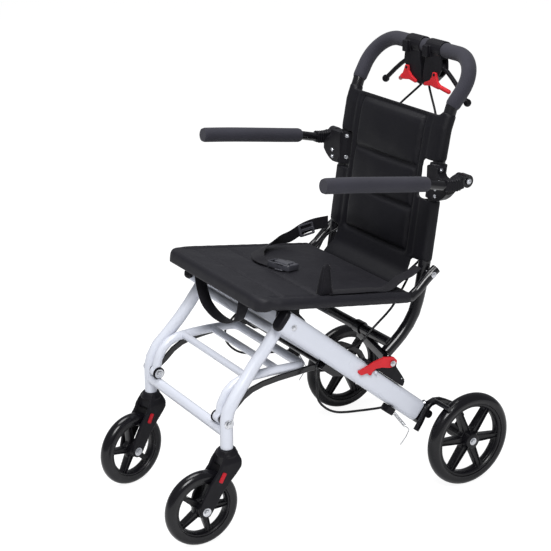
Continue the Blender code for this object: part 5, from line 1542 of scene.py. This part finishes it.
def lying(middle, along, across):
    """From a flat part's own frame to a place, with its X along and its Y across."""
    along = Vector(along).normalized()
    across = Vector(across)
    across = (across - along * across.dot(along)).normalized()
    turn = Matrix((along, across, along.cross(across))).transposed().to_4x4()
    return Matrix.Translation(middle) @ turn


def buckle_socket():
    """The socket half: a hollow shell with a thumb window on each side and a webbing bar."""
    body = flat_outline(
        [(-0.029, 0.0145), (-0.021, 0.0175), (-0.008, 0.019), (0.012, 0.0182), (0.029, 0.0165)],
        0.004,
    )
    slot = oblong(-0.0235, 0, 0.0036, 0.027)
    windows = [oblong(0.004, side * 0.0158, 0.018, 0.0058, 0.002) for side in (1, -1)]
    shell = moulding([body, slot, *windows], BUCKLE_THICKNESS, 0.0022)
    panel = moulding(
        [flat_outline([(-0.016, 0.0095), (0.02, 0.011)], 0.003)], BUCKLE_THICKNESS + 0.0036, 0.0018
    )
    thumbs = [
        placed(
            moulding([oblong(0.004, 0, 0.015, 0.004, 0.0018)], BUCKLE_THICKNESS * 0.55, 0.0012),
            Matrix.Translation((0, side * 0.0172, 0)),
        )
        for side in (1, -1)
    ]
    return merged(shell, panel, *thumbs)


def belt_sleeve(foot):
    """The near belt's upright end: the buckle's tongue in its tapered webbing sleeve."""
    line = flowing(
        [foot, foot + Vector((0, 0.001, 0.028)), foot + Vector((-0.001, 0.005, 0.057))], 8
    )

    def narrowing(share):
        return (1 - 0.55 * share) * min(1, 0.35 + (1 - share) * 9)

    sleeve = sweep(line, rounded_bar(0.033, 0.017, 0.006, 4), Y_AXIS, narrowing)
    ribs = [
        sweep(
            [foot + Vector((0.0078, side * 0.01, 0.003)),
             foot + Vector((0.004, side * 0.0052 + 0.0035, 0.048))],
            circle(0.0016, 10),
        )
        for side in (1, -1)
    ]
    return merged(sleeve, *ribs)


def adjuster():
    """The sliding length adjuster: a frame with a ridged middle bar."""
    rim = oblong(0, 0, 0.0265, 0.039, 0.004)
    slots = [oblong(side * 0.006, 0, 0.0058, 0.029, 0.0012) for side in (1, -1)]
    solid = moulding([rim, *slots], 0.0068, 0.002)
    ridges = [
        sweep([(x, -0.014, 0.0034), (x, 0.014, 0.0034)], rounded_bar(0.0013, 0.0022, 0.0006, 2))
        for x in (-0.0014, 0.0014)
    ]
    return merged(solid, *ridges)


def lap_belts():
    surface = surface_of(SEAT_COVER)
    half = BELT_WIDTH / 2

    def lay(x, y, lift=0.0):
        spot, _, _, _ = surface.ray_cast(Vector((x, y, 1)), -Z_AXIS)
        return (x, y, spot.z + BELT_LIFT + lift)

    def wide(x, y, z):
        return Vector((x, y, z)).normalized() * half

    right = [
        ((-0.16, 0.189, 0.4815), wide(0, 0, 1)),
        ((-0.16, 0.15, 0.481), wide(0, 0, 1)),
        ((-0.16, 0.12, 0.475), wide(0, 0, 1)),
        ((-0.158, 0.09, 0.465), wide(0.1, 0, 0.99)),
        ((-0.15, 0.055, 0.466), wide(0.55, 0.1, 0.8)),
        (lay(-0.134, 0.018, 0.0085), wide(0.75, 0.35, 0.5)),
        (lay(-0.108, -0.018, 0.0045), wide(0.65, 0.65, 0.25)),
        (lay(-0.072, -0.041, 0.003), wide(0.3, 0.95, 0.1)),
        (lay(-0.048, -0.044), wide(-0.1, 0.99, -0.13)),
        (lay(-0.026, -0.039), wide(-0.3, 0.95, -0.13)),
    ]
    soft = [piece(
        "belt_right", band(right, STRAP_THICKNESS), "webbing", "seat", ["lap_belt_right"], 60
    )]
    glide = placed(adjuster(), lying((-0.1565, 0.131, 0.4745), (0.25, 0.1, -0.96), (0, 1, -0.15)))
    soft.append(piece("belt_adjuster", glide, "buckle_plastic", "seat"))
    # The socket's lighter grey colour is partly a painted highlight.
    x, y, z = lay(0.003, -0.029, BUCKLE_THICKNESS / 2)
    socket = placed(buckle_socket(), lying((x, y, z), (0.95, 0.31, 0.0), (-0.31, 0.95, -0.13)))
    piece("buckle_socket", socket, "buckle_plastic", "seat")
    left = [
        ((0.16, 0.188, 0.474), X_AXIS * half),
        ((0.159, 0.168, 0.462), X_AXIS * half),
        ((0.158, 0.145, 0.4555), X_AXIS * half),
    ]
    for x, y in ((0.158, 0.112), (0.159, 0.075), (0.16, 0.035), (0.16, -0.005), (0.16, -0.03)):
        left.append((lay(x, y), X_AXIS * half))
    soft.append(piece(
        "belt_left", band(left, STRAP_THICKNESS), "webbing", "seat", ["lap_belt_left"], 60
    ))
    sleeve = belt_sleeve(Vector(lay(0.16, -0.034)))
    soft.append(piece("belt_sleeve", sleeve, "webbing", "seat"))
    for made in soft:
        lay(*BELT_ANCHOR)
        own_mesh(made)


pull_strap()
lap_belts()


# The frame's own nodes

TUBE_BEVEL = 0.0006
BEVEL_ANGLE = 42
BEVELS = {"black_plastic": 0.0009, "red_plastic": 0.0009, "zinc_steel": 0.0004}
WELD_DISTANCE = 0.00002
FLAT_ANGLE = 0.5


def dress_node(node):
    """Gives a CAD node its finish, smooth shading and slightly rounded edges."""
    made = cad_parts[node]
    slot = made.data.materials[0].name.split(".")[0]
    made.data.materials[0] = MATERIALS[slot]
    if "custom_normal" in made.data.attributes:
        made.data.attributes.remove(made.data.attributes["custom_normal"])
    made.data.shade_smooth()
    weld = made.modifiers.new("weld", "WELD")
    weld.merge_threshold = WELD_DISTANCE
    flat = made.modifiers.new("flat", "DECIMATE")
    flat.decimate_type = "DISSOLVE"
    flat.angle_limit = math.radians(FLAT_ANGLE)
    bevel = made.modifiers.new("bevel", "BEVEL")
    bevel.width = BEVELS.get(slot, TUBE_BEVEL)
    bevel.segments = 2
    bevel.limit_method = "ANGLE"
    bevel.angle_limit = math.radians(BEVEL_ANGLE)
    bevel.harden_normals = True


for node_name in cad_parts:
    dress_node(node_name)


# Closing lines

def corners(bounds):
    return [list(corner) for corner in bounds]
